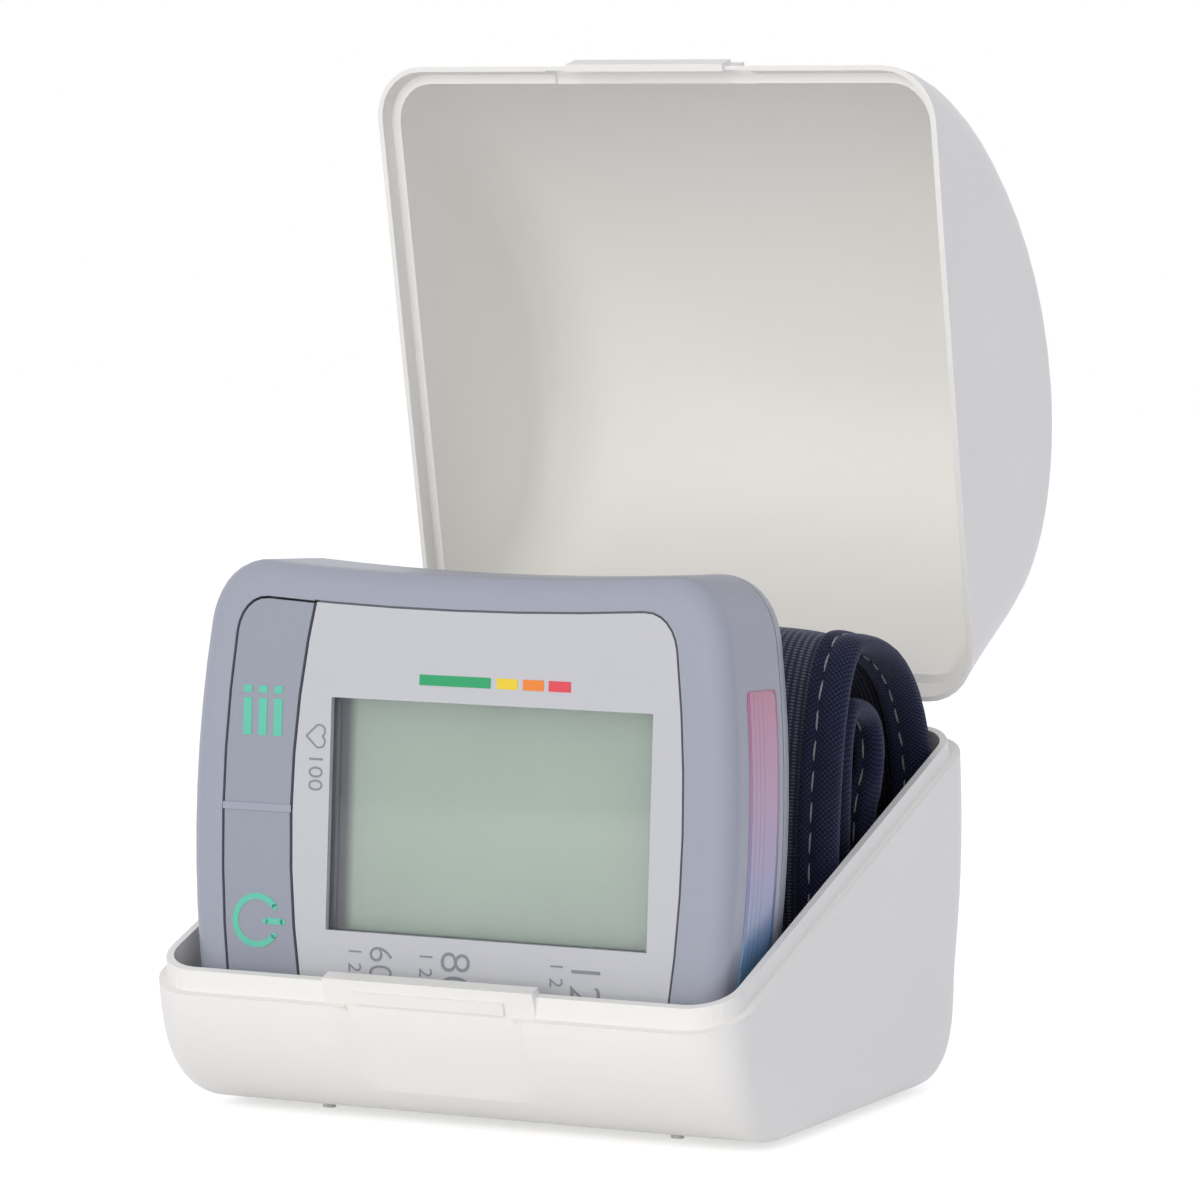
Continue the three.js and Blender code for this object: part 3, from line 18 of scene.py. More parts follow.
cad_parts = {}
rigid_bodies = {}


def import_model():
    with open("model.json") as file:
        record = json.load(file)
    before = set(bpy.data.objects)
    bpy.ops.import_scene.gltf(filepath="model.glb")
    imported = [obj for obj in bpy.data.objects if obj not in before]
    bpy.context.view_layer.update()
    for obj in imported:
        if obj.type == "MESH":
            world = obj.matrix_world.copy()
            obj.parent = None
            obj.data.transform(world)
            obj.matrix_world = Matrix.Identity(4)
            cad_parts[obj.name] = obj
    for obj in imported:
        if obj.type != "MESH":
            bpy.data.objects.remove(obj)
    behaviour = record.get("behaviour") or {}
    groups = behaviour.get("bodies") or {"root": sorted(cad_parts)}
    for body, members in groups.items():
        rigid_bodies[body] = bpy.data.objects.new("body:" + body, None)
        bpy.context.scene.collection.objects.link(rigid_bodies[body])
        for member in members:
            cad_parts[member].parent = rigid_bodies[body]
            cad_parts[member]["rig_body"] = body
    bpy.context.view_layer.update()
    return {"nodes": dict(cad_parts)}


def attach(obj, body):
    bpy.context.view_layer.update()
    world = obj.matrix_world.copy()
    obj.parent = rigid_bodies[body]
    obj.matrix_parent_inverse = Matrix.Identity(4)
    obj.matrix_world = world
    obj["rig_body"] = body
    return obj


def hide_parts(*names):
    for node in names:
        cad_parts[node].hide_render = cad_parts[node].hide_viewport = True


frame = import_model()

MM = 0.001

# %% [markdown]
# The camera comes first, because every later choice is judged through it. It stands in front and to the
# right, far away with a long lens, and is rolled by less than a degree, as a hand-placed camera is.

# %% Camera
stand = (0.29779, -0.660967, 0.11738)
yaw, pitch, roll = (math.radians(angle) for angle in (24.528, 3.875, -0.694))
ahead = Vector((-math.sin(yaw) * math.cos(pitch), math.cos(yaw) * math.cos(pitch), -math.sin(pitch)))
level_right = Vector((math.cos(yaw), math.sin(yaw), 0))
level_down = ahead.cross(level_right)
right = level_right * math.cos(roll) + level_down * math.sin(roll)
down = level_down * math.cos(roll) - level_right * math.sin(roll)
turn = Matrix((right, -down, -ahead)).transposed().to_4x4()

camera = bpy.data.objects.new("camera", bpy.data.cameras.new("camera"))
camera.data.lens = 155.0
camera.data.sensor_width = 36
camera.data.clip_start = 0.05
camera.matrix_world = Matrix.Translation(stand) @ turn
bpy.context.scene.collection.objects.link(camera)
bpy.context.scene.camera = camera
print("camera stands", round((camera.location - Vector((0, 0, 0.07))).length, 3), "m from the object")

# %% [markdown]
# The studio is a pale floor with two large soft lamps and a pale sky. The warmer and larger lamp stands low
# in front, so that light falls straight into the open lid, and the right sides stay in a cooler half shade.
# It is hidden from reflections, where it would lie over the display as a bright band. The sky and the floor
# look white to the camera and in reflections, but light the object at a lower level.

# %% Studio
def linear(code):
    """The linear colour of an sRGB hex value."""
    parts = [int(code[i : i + 2], 16) / 255 for i in (1, 3, 5)]
    return (*[c / 12.92 if c <= 0.04045 else ((c + 0.055) / 1.055) ** 2.4 for c in parts], 1)


def add_node(tree, kind, links=None, values=None, **settings):
    """Adds a node: settings are its own, values fill sockets, links join sockets to other nodes' outputs."""
    node = tree.nodes.new(kind)
    for name, value in settings.items():
        setattr(node, name, value)
    for socket, value in (values or {}).items():
        node.inputs[socket].default_value = value
    for socket, output in (links or {}).items():
        tree.links.new(output, node.inputs[socket])
    return node


def add_lamp(name, place, aim, size, power, colour):
    """A square lamp at a place, turned to a point that it lights."""
    lamp = bpy.data.lights.new(name, "AREA")
    lamp.size, lamp.energy, lamp.color = size, power, linear(colour)[:3]
    holder = bpy.data.objects.new(name, lamp)
    holder.location = place
    holder.rotation_euler = (Vector(aim) - Vector(place)).to_track_quat("-Z", "Y").to_euler()
    bpy.context.scene.collection.objects.link(holder)
    return holder


key_lamp = add_lamp(
    "key_lamp", place=(0.02, -1.08, 0.22), aim=(0, 0.02, 0.09), size=0.8, power=7.1, colour="#FFFCF6"
)
key_lamp.visible_glossy = key_lamp.visible_transmission = False
add_lamp(
    "side_lamp", place=(1.0, 0.15, 0.5), aim=(0, 0, 0.06), size=0.7, power=0.45, colour="#D4D9FF"
)


def backdrop_rays(tree):
    """1 for rays that see the white backdrop: the camera's, reflections, and those through the clear pane."""
    rays = add_node(tree, "ShaderNodeLightPath")
    links = {0: rays.outputs["Is Camera Ray"], 1: rays.outputs["Is Glossy Ray"]}
    seen = add_node(tree, "ShaderNodeMath", links, operation="MAXIMUM")
    links = {0: seen.outputs[0], 1: rays.outputs["Is Transmission Ray"]}
    return add_node(tree, "ShaderNodeMath", links, operation="MAXIMUM")


world = bpy.data.worlds.new("studio_sky")
bpy.context.scene.world = world
world.use_nodes = True
sky = world.node_tree
sky.nodes.clear()
seen = backdrop_rays(sky)
lit = add_node(sky, "ShaderNodeBackground", values={"Color": linear("#F2F2FC"), "Strength": 0.58})
shown = add_node(sky, "ShaderNodeBackground", values={"Color": linear("#FFFFFF"), "Strength": 1.0})
both = add_node(sky, "ShaderNodeMixShader", {0: seen.outputs[0], 1: lit.outputs[0], 2: shown.outputs[0]})
add_node(sky, "ShaderNodeOutputWorld", {"Surface": both.outputs[0]})
bpy.context.scene.view_settings.view_transform = "Standard"

bm = bmesh.new()
bmesh.ops.create_grid(bm, x_segments=1, y_segments=1, size=3.0)
floor_mesh = bpy.data.meshes.new("floor")
bm.to_mesh(floor_mesh)
bm.free()
floor = bpy.data.objects.new("floor", floor_mesh)
bpy.context.scene.collection.objects.link(floor)
paper = bpy.data.materials.new("matt_white_backdrop_paper")
paper.use_nodes = True
tree = paper.node_tree
shader = tree.nodes["Principled BSDF"]
shader.inputs["Base Color"].default_value = linear("#F2F2F2")
shader.inputs["Roughness"].default_value = 0.9
seen = backdrop_rays(tree)
white = add_node(tree, "ShaderNodeEmission", {"Strength": seen.outputs[0]}, {"Color": linear("#C6C6C6")})
both = add_node(tree, "ShaderNodeAddShader", {0: shader.outputs[0], 1: white.outputs[0]})
tree.links.new(both.outputs[0], tree.nodes["Material Output"].inputs["Surface"])
floor_mesh.materials.append(paper)
print("studio: 2 lamps, a sky and a floor")

# %% [markdown]
# The case is moulded in white ABS. A polished mould leaves a gloss that is never quite even, so slow noise
# moves the roughness a little, and a very faint bump gives reflections the slight waviness of a thin wall.
# The roughness stays above 0.28 everywhere. Below about 0.27 the renderer counts a reflection as sharp, which
# then sees the white backdrop, and the step between the two would show as a spot.

# %% Moulded plastics
def start_material(name, colour, roughness, **sockets):
    """A material with its shader set, and the node tree and object coordinates to build on."""
    material = bpy.data.materials.new(name)
    material.use_nodes = True
    tree = material.node_tree
    shader = tree.nodes["Principled BSDF"]
    shader.inputs["Base Color"].default_value = linear(colour)
    shader.inputs["Roughness"].default_value = roughness
    for socket, value in sockets.items():
        shader.inputs[socket.replace("_", " ")].default_value = value
    coordinates = add_node(tree, "ShaderNodeTexCoord")
    return material, tree, shader, coordinates


UNEVENNESS = 0.05


def moulded(name, colour, roughness, grain_mm, grain_height, **sockets):
    """Injection moulded plastic: noise of the grain's size as bump, and slow noise in roughness and tone."""
    material, tree, shader, coordinates = start_material(name, colour, roughness, **sockets)
    place = coordinates.outputs["Object"]
    slow = add_node(tree, "ShaderNodeTexNoise", {"Vector": place}, {"Scale": 1 / (24 * MM), "Detail": 1.0})
    spread = add_node(
        tree,
        "ShaderNodeMapRange",
        {"Value": slow.outputs["Fac"]},
        {"To Min": roughness - UNEVENNESS, "To Max": roughness + UNEVENNESS},
        clamp=False,
    )
    tree.links.new(spread.outputs[0], shader.inputs["Roughness"])
    tone = add_node(
        tree,
        "ShaderNodeMix",
        {"Factor": slow.outputs["Fac"]},
        data_type="RGBA",
        blend_type="MULTIPLY",
        clamp_factor=False,
    )
    tone.inputs[6].default_value = linear(colour)
    tone.inputs[7].default_value = (0.965, 0.965, 0.97, 1)
    tree.links.new(tone.outputs[2], shader.inputs["Base Color"])
    grain = add_node(
        tree, "ShaderNodeTexNoise", {"Vector": place}, {"Scale": 1 / (grain_mm * MM), "Detail": 2.0}
    )
    bump = add_node(
        tree,
        "ShaderNodeBump",
        {"Height": grain.outputs["Fac"]},
        {"Strength": 0.6, "Distance": grain_height * MM},
    )
    tree.links.new(bump.outputs["Normal"], shader.inputs["Normal"])
    return material


case_abs = moulded("case_glossy_white_abs", "#F5F4EF", 0.34, 14, 0.02, IOR=1.53)
housing_abs = moulded("housing_satin_grey_abs", "#A2A6B3", 0.34, 0.5, 0.008, IOR=1.53)
button_abs = moulded("button_matt_grey_abs", "#9B9FAB", 0.48, 0.35, 0.012, IOR=1.53)
black_abs = moulded("inner_black_abs", "#26272B", 0.5, 0.6, 0.02, IOR=1.53)
hose_silicone = moulded("air_hose_grey_silicone", "#8D9094", 0.6, 0.8, 0.02, IOR=1.41)
print("plastics:", case_abs.name, housing_abs.name, button_abs.name)

# %% [markdown]
# Inside the monitor are a lacquered circuit board, nickel plated steel, a brass valve and two cells. They
# hardly show, but whoever opens the battery door sees real finishes: metals get fine brushing, the board its
# tracks under green lacquer, and the cells a plain printed sleeve.

# %% Metals, board and cells
def brushed(name, colour, roughness, line_mm):
    """Rolled or drawn metal: stretched noise gives the fine lines in roughness and bump."""
    material, tree, shader, coordinates = start_material(name, colour, roughness, Metallic=1.0)
    place = coordinates.outputs["Object"]
    stretch = add_node(tree, "ShaderNodeMapping", {"Vector": place}, {"Scale": (1, 1, 0.05)})
    lines = add_node(
        tree,
        "ShaderNodeTexNoise",
        {"Vector": stretch.outputs[0]},
        {"Scale": 1 / (line_mm * MM), "Detail": 2.0},
    )
    spread = add_node(
        tree,
        "ShaderNodeMapRange",
        {"Value": lines.outputs["Fac"]},
        {"To Min": roughness - 0.04, "To Max": roughness + 0.12},
    )
    tree.links.new(spread.outputs[0], shader.inputs["Roughness"])
    bump = add_node(
        tree, "ShaderNodeBump", {"Height": lines.outputs["Fac"]}, {"Strength": 0.4, "Distance": 0.01 * MM}
    )
    tree.links.new(bump.outputs["Normal"], shader.inputs["Normal"])
    return material


def two_tone(name, dark, light, roughness, cell_mm, height, **sockets):
    """A surface with patches of two tones, such as tracks under lacquer or a printed sleeve."""
    material, tree, shader, coordinates = start_material(name, dark, roughness, **sockets)
    cells = add_node(
        tree,
        "ShaderNodeTexVoronoi",
        {"Vector": coordinates.outputs["Object"]},
        {"Scale": 1 / (cell_mm * MM)},
        distance="CHEBYCHEV",
    )
    edge = add_node(
        tree, "ShaderNodeMapRange", {"Value": cells.outputs["Distance"]}, {"From Min": 0.42, "From Max": 0.5}
    )
    tone = add_node(tree, "ShaderNodeMix", {"Factor": edge.outputs[0]}, data_type="RGBA")
    tone.inputs[6].default_value, tone.inputs[7].default_value = linear(dark), linear(light)
    tree.links.new(tone.outputs[2], shader.inputs["Base Color"])
    bump = add_node(
        tree, "ShaderNodeBump", {"Height": edge.outputs[0]}, {"Strength": 0.5, "Distance": height * MM}
    )
    tree.links.new(bump.outputs["Normal"], shader.inputs["Normal"])
    return material


plated_steel = brushed("nickel_plated_steel", "#B9BCC0", 0.32, 0.3)
brass_body = brushed("turned_brass", "#C2A467", 0.35, 0.25)
lacquered_board = two_tone("lacquered_circuit_board", "#24573A", "#3B7A50", 0.35, 1.6, 0.03)
cell_sleeve = two_tone("battery_sleeve_film", "#2C5078", "#35608F", 0.3, 6.0, 0.01)
print("inner finishes:", plated_steel.name, brass_body.name, lacquered_board.name, cell_sleeve.name)

# %% [markdown]
# The display is a reflective liquid crystal glass behind a clear acrylic pane. Switched off it is a flat
# grey green with a faint cloudiness, so its colour drifts slowly between two close tones. Its left edge
# darkens: partly the dark mask, partly painted shadow of the recess wall. The pane is nearly invisible.

# %% Panel, pane and display
panel_film = moulded("panel_pearl_polycarbonate", "#C6C8CC", 0.34, 0.25, 0.006, IOR=1.58)

glass_tones = ("#C5D7C9", "#D0E2D5")
display_glass, tree, shader, coordinates = start_material(
    "reflective_display_glass", glass_tones[0], 0.22, IOR=1.52
)
place = coordinates.outputs["Object"]
cloud = add_node(tree, "ShaderNodeTexNoise", {"Vector": place}, {"Scale": 1 / (14 * MM), "Detail": 2.0})
tone = add_node(tree, "ShaderNodeMix", {"Factor": cloud.outputs["Fac"]}, data_type="RGBA")
tone.inputs[6].default_value, tone.inputs[7].default_value = (linear(code) for code in glass_tones)
across = add_node(tree, "ShaderNodeSeparateXYZ", {"Vector": place})
# Painted shade at the left edge: partly the display's dark mask, partly the recess wall's shadow on the glass.
mask_and_painted_shade = add_node(
    tree,
    "ShaderNodeMapRange",
    {"Value": across.outputs["X"]},
    {"From Min": -17.8 * MM, "From Max": -15.8 * MM, "To Min": 1.0, "To Max": 0.0},
    interpolation_type="SMOOTHSTEP",
)
edged = add_node(tree, "ShaderNodeMix", {"Factor": mask_and_painted_shade.outputs[0], 6: tone.outputs[2]}, data_type="RGBA")
edged.inputs[7].default_value = linear("#74757F")
tree.links.new(edged.outputs[2], shader.inputs["Base Color"])
fine = add_node(tree, "ShaderNodeTexNoise", {"Vector": place}, {"Scale": 1 / (0.5 * MM)})
bump = add_node(
    tree, "ShaderNodeBump", {"Height": fine.outputs["Fac"]}, {"Strength": 0.1, "Distance": 0.001 * MM}
)
tree.links.new(bump.outputs["Normal"], shader.inputs["Normal"])

clear_acrylic, tree, shader, coordinates = start_material("pane_clear_acrylic", "#FBFDFB", 0.02, IOR=1.49)
shader.inputs["Transmission Weight"].default_value = 1.0
place = coordinates.outputs["Object"]
haze = add_node(tree, "ShaderNodeTexNoise", {"Vector": place}, {"Scale": 1 / (9 * MM)})
spread = add_node(tree, "ShaderNodeMapRange", {"Value": haze.outputs["Fac"]}, {"To Min": 0.0, "To Max": 0.05})
tree.links.new(spread.outputs[0], shader.inputs["Roughness"])
print("display finishes:", display_glass.name, clear_acrylic.name)

# %% [markdown]
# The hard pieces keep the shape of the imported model. Its meshes are loose triangles, so a copy of each shell
# is merged and shaded smooth wherever two faces meet at a shallow angle. Weighted normals keep flat faces
# flat, and the edges of the case get the small softness that a mould gives them.

# %% Hard shells
def ride_for(piece, *nodes):
    """The piece moves with the body of the first node, and stands for all of them."""
    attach(piece, frame["nodes"][nodes[0]]["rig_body"])
    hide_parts(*nodes)


def new_piece(name, bm, *materials):
    """An object of its own, made from a finished bmesh."""
    mesh = bpy.data.meshes.new(name)
    bm.to_mesh(mesh)
    bm.free()
    for material in materials:
        mesh.materials.append(material)
    piece = bpy.data.objects.new(name, mesh)
    bpy.context.scene.collection.objects.link(piece)
    return piece


SHARP_FROM, BEVEL_FROM = math.radians(33), math.radians(40)


def smooth_shell(node, material, edge_mm):
    """A smooth copy of a node, with its sharp edges rounded off where edge_mm isn't 0."""
    bm = bmesh.new()
    bm.from_mesh(frame["nodes"][node].data)
    bmesh.ops.remove_doubles(bm, verts=bm.verts, dist=0.003 * MM)
    bmesh.ops.dissolve_degenerate(bm, edges=bm.edges, dist=0.002 * MM)
    for edge in bm.edges:
        edge.smooth = len(edge.link_faces) == 2 and edge.calc_face_angle() < SHARP_FROM
    for face in bm.faces:
        face.smooth = True
        face.material_index = 0
    piece = new_piece(node + "_shell", bm, material)
    if edge_mm:
        softened = piece.modifiers.new("soft moulded edges", "BEVEL")
        softened.width, softened.segments = edge_mm * MM, 2
        softened.limit_method, softened.angle_limit = "ANGLE", BEVEL_FROM
        softened.use_clamp_overlap = True
    weighted = piece.modifiers.new("flat faces stay flat", "WEIGHTED_NORMAL")
    weighted.keep_sharp = True
    ride_for(piece, node)
    return piece


shells = {
    "case_base": case_abs,
    "case_lid": case_abs,
    "front_housing": housing_abs,
    "rear_housing": housing_abs,
    "battery_door": housing_abs,
    "memory_button": button_abs,
    "power_button": button_abs,
    "display_panel": panel_film,
}
for node, material in shells.items():
    shell = smooth_shell(node, material, 0.2 if material == case_abs else 0)
    print(shell.name, len(shell.data.polygons), "faces")

# %% [markdown]
# The other hard pieces are small or hidden, and need only their finish.

# %% Finishes of the small pieces
finishes = {
    clear_acrylic: ["display_window"],
    display_glass: ["lcd_glass"],
    black_abs: [
        *["lcd_frame", "memory_switch", "power_switch", "pump_head", "pressure_sensor", "buzzer"],
        *["processor_chip", "cuff_mount"],
    ],
    hose_silicone: ["zebra_strip", "air_tube", "air_bladder"],
    lacquered_board: ["circuit_board"],
    cell_sleeve: ["battery_cell_1", "battery_cell_2"],
    plated_steel: [
        *["battery_contact_top", "battery_contact_bottom", "pump_motor"],
        *[f"housing_screw_{i}" for i in range(1, 5)],
    ],
    brass_body: ["exhaust_valve"],
}
for material, nodes in finishes.items():
    for node in nodes:
        mesh = frame["nodes"][node].data
        mesh.materials.clear()
        mesh.materials.append(material)
print("finished in place:", sum(len(nodes) for nodes in finishes.values()))

# %% [markdown]
# The monitor leans back by a couple of degrees, so its signs and its cuff are drawn in its own directions:
# across, depth behind the face, and up from the middle of the face. One matrix then puts them on the monitor.

# %% The monitor's own directions
on_face = Matrix.Translation((0, -0.0539681, 0.0422)) @ Matrix.Rotation(math.radians(-2.2), 4, "X")


def place_on_face(piece):
    """Moves a mesh from the face's directions to the leaning monitor."""
    piece.data.transform(on_face)
    piece.data.update()


print("middle of the face:", [round(v, 4) for v in on_face.translation])

# %% [markdown]
# Signs are screen printed ink, less than a tenth of a millimetre thick, with a soft sheen. They are thin
# solids that sit on the panel and the buttons: figures are typed in Blender's own font and turned into a mesh,
# and lines and arcs are flat strips. All of them read turned a quarter to the right, as on the real face.

# %% Ink
def ink(name, colour):
    """Printed ink: satin, with the finest grain."""
    return moulded(name, colour, roughness=0.45, grain_mm=0.2, grain_height=0.004)


grey_ink = ink("ink_grey", "#8B8F96")
mint_ink = ink("ink_mint", "#67C9AE")
bar_inks = {"green": "#2FA36B", "yellow": "#F0D23C", "orange": "#F08A3C", "red": "#E2505A"}
bar_inks = {name: ink("ink_" + name, colour) for name, colour in bar_inks.items()}
# Half the thickness of the ink, and the height of the built-in font's figures as a share of its size.
INK = 0.04
FIGURE_SHARE = 0.73
sideways = Matrix(((0, 1, 0, 0), (0, 0, -1, 0), (-1, 0, 0, 0), (0, 0, 0, 1)))


def lay_ink(name, bm, body, material, across, up, depth=0.0):
    """Puts a figure, already as thick as the ink, on the face with its top to the right, and lets it ride."""
    bmesh.ops.transform(bm, matrix=Matrix.Translation((across, depth - INK, up)) @ sideways, verts=bm.verts)
    bmesh.ops.scale(bm, vec=(MM, MM, MM), verts=bm.verts)
    bmesh.ops.recalc_face_normals(bm, faces=bm.faces)
    piece = new_piece(name, bm, material)
    place_on_face(piece)
    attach(piece, body)


def figures(name, text, height, across, up, thin=-0.012, stretch=1.0):
    """A line of figures, height mm tall, that starts at the given place and runs down the face."""
    curve = bpy.data.curves.new(name, "FONT")
    curve.body, curve.size, curve.offset = text, height / FIGURE_SHARE, thin * height
    curve.extrude = INK
    curve.resolution_u = 6
    typed = bpy.data.objects.new(name, curve)
    bm = bmesh.new()
    bm.from_mesh(bpy.data.meshes.new_from_object(typed))
    bpy.data.objects.remove(typed)
    bmesh.ops.remove_doubles(bm, verts=bm.verts, dist=0.001)
    bmesh.ops.scale(bm, vec=(stretch, 1, 1), verts=bm.verts)
    lay_ink(name, bm, "monitor", grey_ink, across, up)


def strip(bm, radius, width, start, sweep, centre=(0, 0)):
    """A flat arc: an edge as long as the stroke is wide, spun about the centre."""
    turned = Matrix.Rotation(start, 3, "Z")
    ends = [bm.verts.new(turned @ Vector((radius + side * width / 2, 0, 0))) for side in (-1, 1)]
    edge = bm.edges.new(ends)
    bmesh.ops.spin(bm, geom=[*ends, edge], cent=(0, 0, 0), axis=(0, 0, 1), angle=sweep, steps=28)
    fresh = [v for v in bm.verts if not v.tag]
    bmesh.ops.translate(bm, vec=(*centre, 0), verts=fresh)
    for v in bm.verts:
        v.tag = True


def dot(bm, centre, width):
    """A round end for a stroke."""
    made = bmesh.ops.create_circle(bm, cap_ends=True, segments=16, radius=width / 2)["verts"]
    bmesh.ops.translate(bm, vec=(*centre, 0), verts=made)
    for v in made:
        v.tag = True


def stroke(bm, start, end, width):
    """A flat bar from one point to another."""
    start, end = Vector((*start, 0)), Vector((*end, 0))
    along = end - start
    aim = Matrix.Translation((start + end) / 2) @ Matrix.Rotation(math.atan2(along.y, along.x), 4, "Z")
    made = bmesh.ops.create_grid(bm, x_segments=1, y_segments=1, size=0.5)["verts"]
    bmesh.ops.scale(bm, vec=(along.length, width, 1), verts=made)
    bmesh.ops.transform(bm, matrix=aim, verts=made)
    for v in made:
        v.tag = True


def thicken(bm):
    """Turns flat shapes into plates with their middle at depth 0."""
    made = bmesh.ops.extrude_face_region(bm, geom=bm.faces[:])["geom"]
    lifted = [v for v in made if isinstance(v, bmesh.types.BMVert)]
    bmesh.ops.translate(bm, vec=(0, 0, 2 * INK), verts=lifted)
    bmesh.ops.translate(bm, vec=(0, 0, -INK), verts=bm.verts)


print("inks:", grey_ink.name, mint_ink.name, *bar_inks)

# %% [markdown]
# The upper button recalls stored readings and carries a plain list mark. The lower one switches the monitor
# on and carries the common power mark. Both are in mint green.

# %% Marks on the buttons
bm = bmesh.new()
bar, square, width = (-1.7, 3.3), (-3.4, -2.4), 1.25
for row in (-2.3, 0, 2.3):
    for start, end in (bar, square):
        stroke(bm, (start, row), (end, row), width)
thicken(bm)
lay_ink("list_mark", bm, "memory_button", mint_ink, across=-28.8, up=13.2, depth=0.1)

bm = bmesh.new()
reach, width, bar_ends = 3.25, 0.85, (1.3, 3.9)
arc_ends = [math.radians(angle) for angle in (126, 54)]
strip(bm, reach, width, arc_ends[0], math.radians(288))
stroke(bm, (0, bar_ends[0]), (0, bar_ends[1]), width)
for angle in arc_ends:
    dot(bm, (reach * math.cos(angle), reach * math.sin(angle)), width)
for height in bar_ends:
    dot(bm, (0, height), width)
thicken(bm)
lay_ink("power_mark", bm, "power_button", mint_ink, across=-28.9, up=-14.9, depth=0.1)
print("marks printed on both buttons")

# %% [markdown]
# A narrow bridge of the housing runs between the two buttons, just over their edges, so that they still
# press in.

# %% Bridge between the buttons
bridge = {"left": -34.5, "right": -24.15, "middle": 0.3, "height": 1.0, "thickness": 0.14, "sunk": 0.02}
size = (bridge["right"] - bridge["left"], bridge["thickness"], bridge["height"])
place = ((bridge["right"] + bridge["left"]) / 2, bridge["sunk"], bridge["middle"])
bm = bmesh.new()
bmesh.ops.create_cube(bm, size=1)
bmesh.ops.scale(bm, vec=size, verts=bm.verts)
bmesh.ops.translate(bm, vec=place, verts=bm.verts)
bmesh.ops.bevel(bm, geom=bm.edges[:], offset=0.05, segments=2, profile=0.5, affect="EDGES", material=-1)
bmesh.ops.scale(bm, vec=(MM, MM, MM), verts=bm.verts)
button_bridge = new_piece("button_bridge", bm, housing_abs)
place_on_face(button_bridge)
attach(button_bridge, "monitor")
print("bridge between the buttons, mm:", bridge["height"])

# %% [markdown]
# The panel carries a colour scale for the reading, from green to red, a heart with a number beside the
# display, and plain figures below it.

# %% Prints on the panel
scale_bars = {"green": (-5.5, 4.9), "yellow": (5.8, 8.8), "orange": (9.6, 12.6), "red": (13.3, 16.5)}
scale_up, bar_width = 18.4, 1.4
for name, (start, end) in scale_bars.items():
    bm = bmesh.new()
    stroke(bm, (0, (start - end) / 2), (0, (end - start) / 2), bar_width)
    thicken(bm)
    lay_ink(f"scale_bar_{name}", bm, "monitor", bar_inks[name], (start + end) / 2, scale_up)

bm = bmesh.new()
line, lobe = 0.22, 0.82
for side in (-1, 1):
    start = math.radians(-38 if side > 0 else 32)
    strip(bm, lobe, line, start, math.radians(186), (side * 0.7, 0.45))
    stroke(bm, (side * 1.36, -0.05), (0, -1.5), line)
thicken(bm)
lay_ink("heart_mark", bm, "monitor", grey_ink, across=-20.6, up=10.2)

figures("count_figures", "100", height=2.2, across=-21.6, up=8.0, stretch=1.15)
figures("upper_figures", "120", height=4.6, across=17.6, up=-17.0, thin=-0.02)
figures("middle_figures", "80", height=4.6, across=-1.3, up=-17.0, thin=-0.02)
figures("lower_figures", "60", height=3.6, across=-11.8, up=-17.0, thin=-0.02)
figures("upper_unit", "1 2 3", height=2.0, across=14.6, up=-17.4)
figures("middle_unit", "1 2 3", height=2.0, across=-4.4, up=-17.4)
figures("lower_unit", "1 2", height=2.0, across=-14.9, up=-17.4)
print("panel prints:", len(scale_bars), "bars, a heart and seven lines of figures")

# %% [markdown]
# A long label of printed film is stuck to the housing's right side, with soft colours and fine plain lines.
# A flat grid is thrown against the side along straight rays, so the film follows the curve of the wall.

# %% Side label
label_film, tree, shader, coordinates = start_material(
    "label_printed_polyester_film", "#9A94BE", 0.32, IOR=1.57, Coat_Weight=0.25
)
flat = coordinates.outputs["UV"]
spread = add_node(tree, "ShaderNodeSeparateXYZ", {"Vector": flat})
cloudy = add_node(tree, "ShaderNodeTexNoise", {"Vector": flat}, {"Scale": 9.0, "Detail": 3.0})
drift = add_node(
    tree, "ShaderNodeMath", {0: cloudy.outputs["Fac"]}, {1: 0.22, 2: -0.11}, operation="MULTIPLY_ADD"
)
place = add_node(tree, "ShaderNodeMath", {0: spread.outputs["Y"], 1: drift.outputs[0]}, operation="ADD")
tints = add_node(tree, "ShaderNodeValToRGB", {"Fac": place.outputs[0]})
tints.color_ramp.elements[0].color = linear("#5A9088")
tints.color_ramp.elements[1].color = linear("#C06E94")
for at, colour in ((0.2, "#6E9BBE"), (0.45, "#9A94BE"), (0.7, "#B68AB0")):
    tints.color_ramp.elements.new(at).color = linear(colour)
rules = add_node(tree, "ShaderNodeTexWave", {"Vector": flat}, {"Scale": 2.2}, bands_direction="X")
thin = add_node(
    tree, "ShaderNodeMapRange", {"Value": rules.outputs["Fac"]}, {"From Min": 0.9, "From Max": 0.97}
)
inside = add_node(tree, "ShaderNodeMath", {0: spread.outputs["X"]}, {1: 0.58}, operation="LESS_THAN")
share = add_node(tree, "ShaderNodeMath", {0: thin.outputs[0], 1: inside.outputs[0]}, operation="MULTIPLY")
share = add_node(tree, "ShaderNodeMath", {0: share.outputs[0]}, {1: 0.55}, operation="MULTIPLY")
links = {"Factor": share.outputs[0], 6: tints.outputs["Color"]}
printed = add_node(tree, "ShaderNodeMix", links, data_type="RGBA")
printed.inputs[7].default_value = linear("#4A4C66")
tree.links.new(printed.outputs[2], shader.inputs["Base Color"])

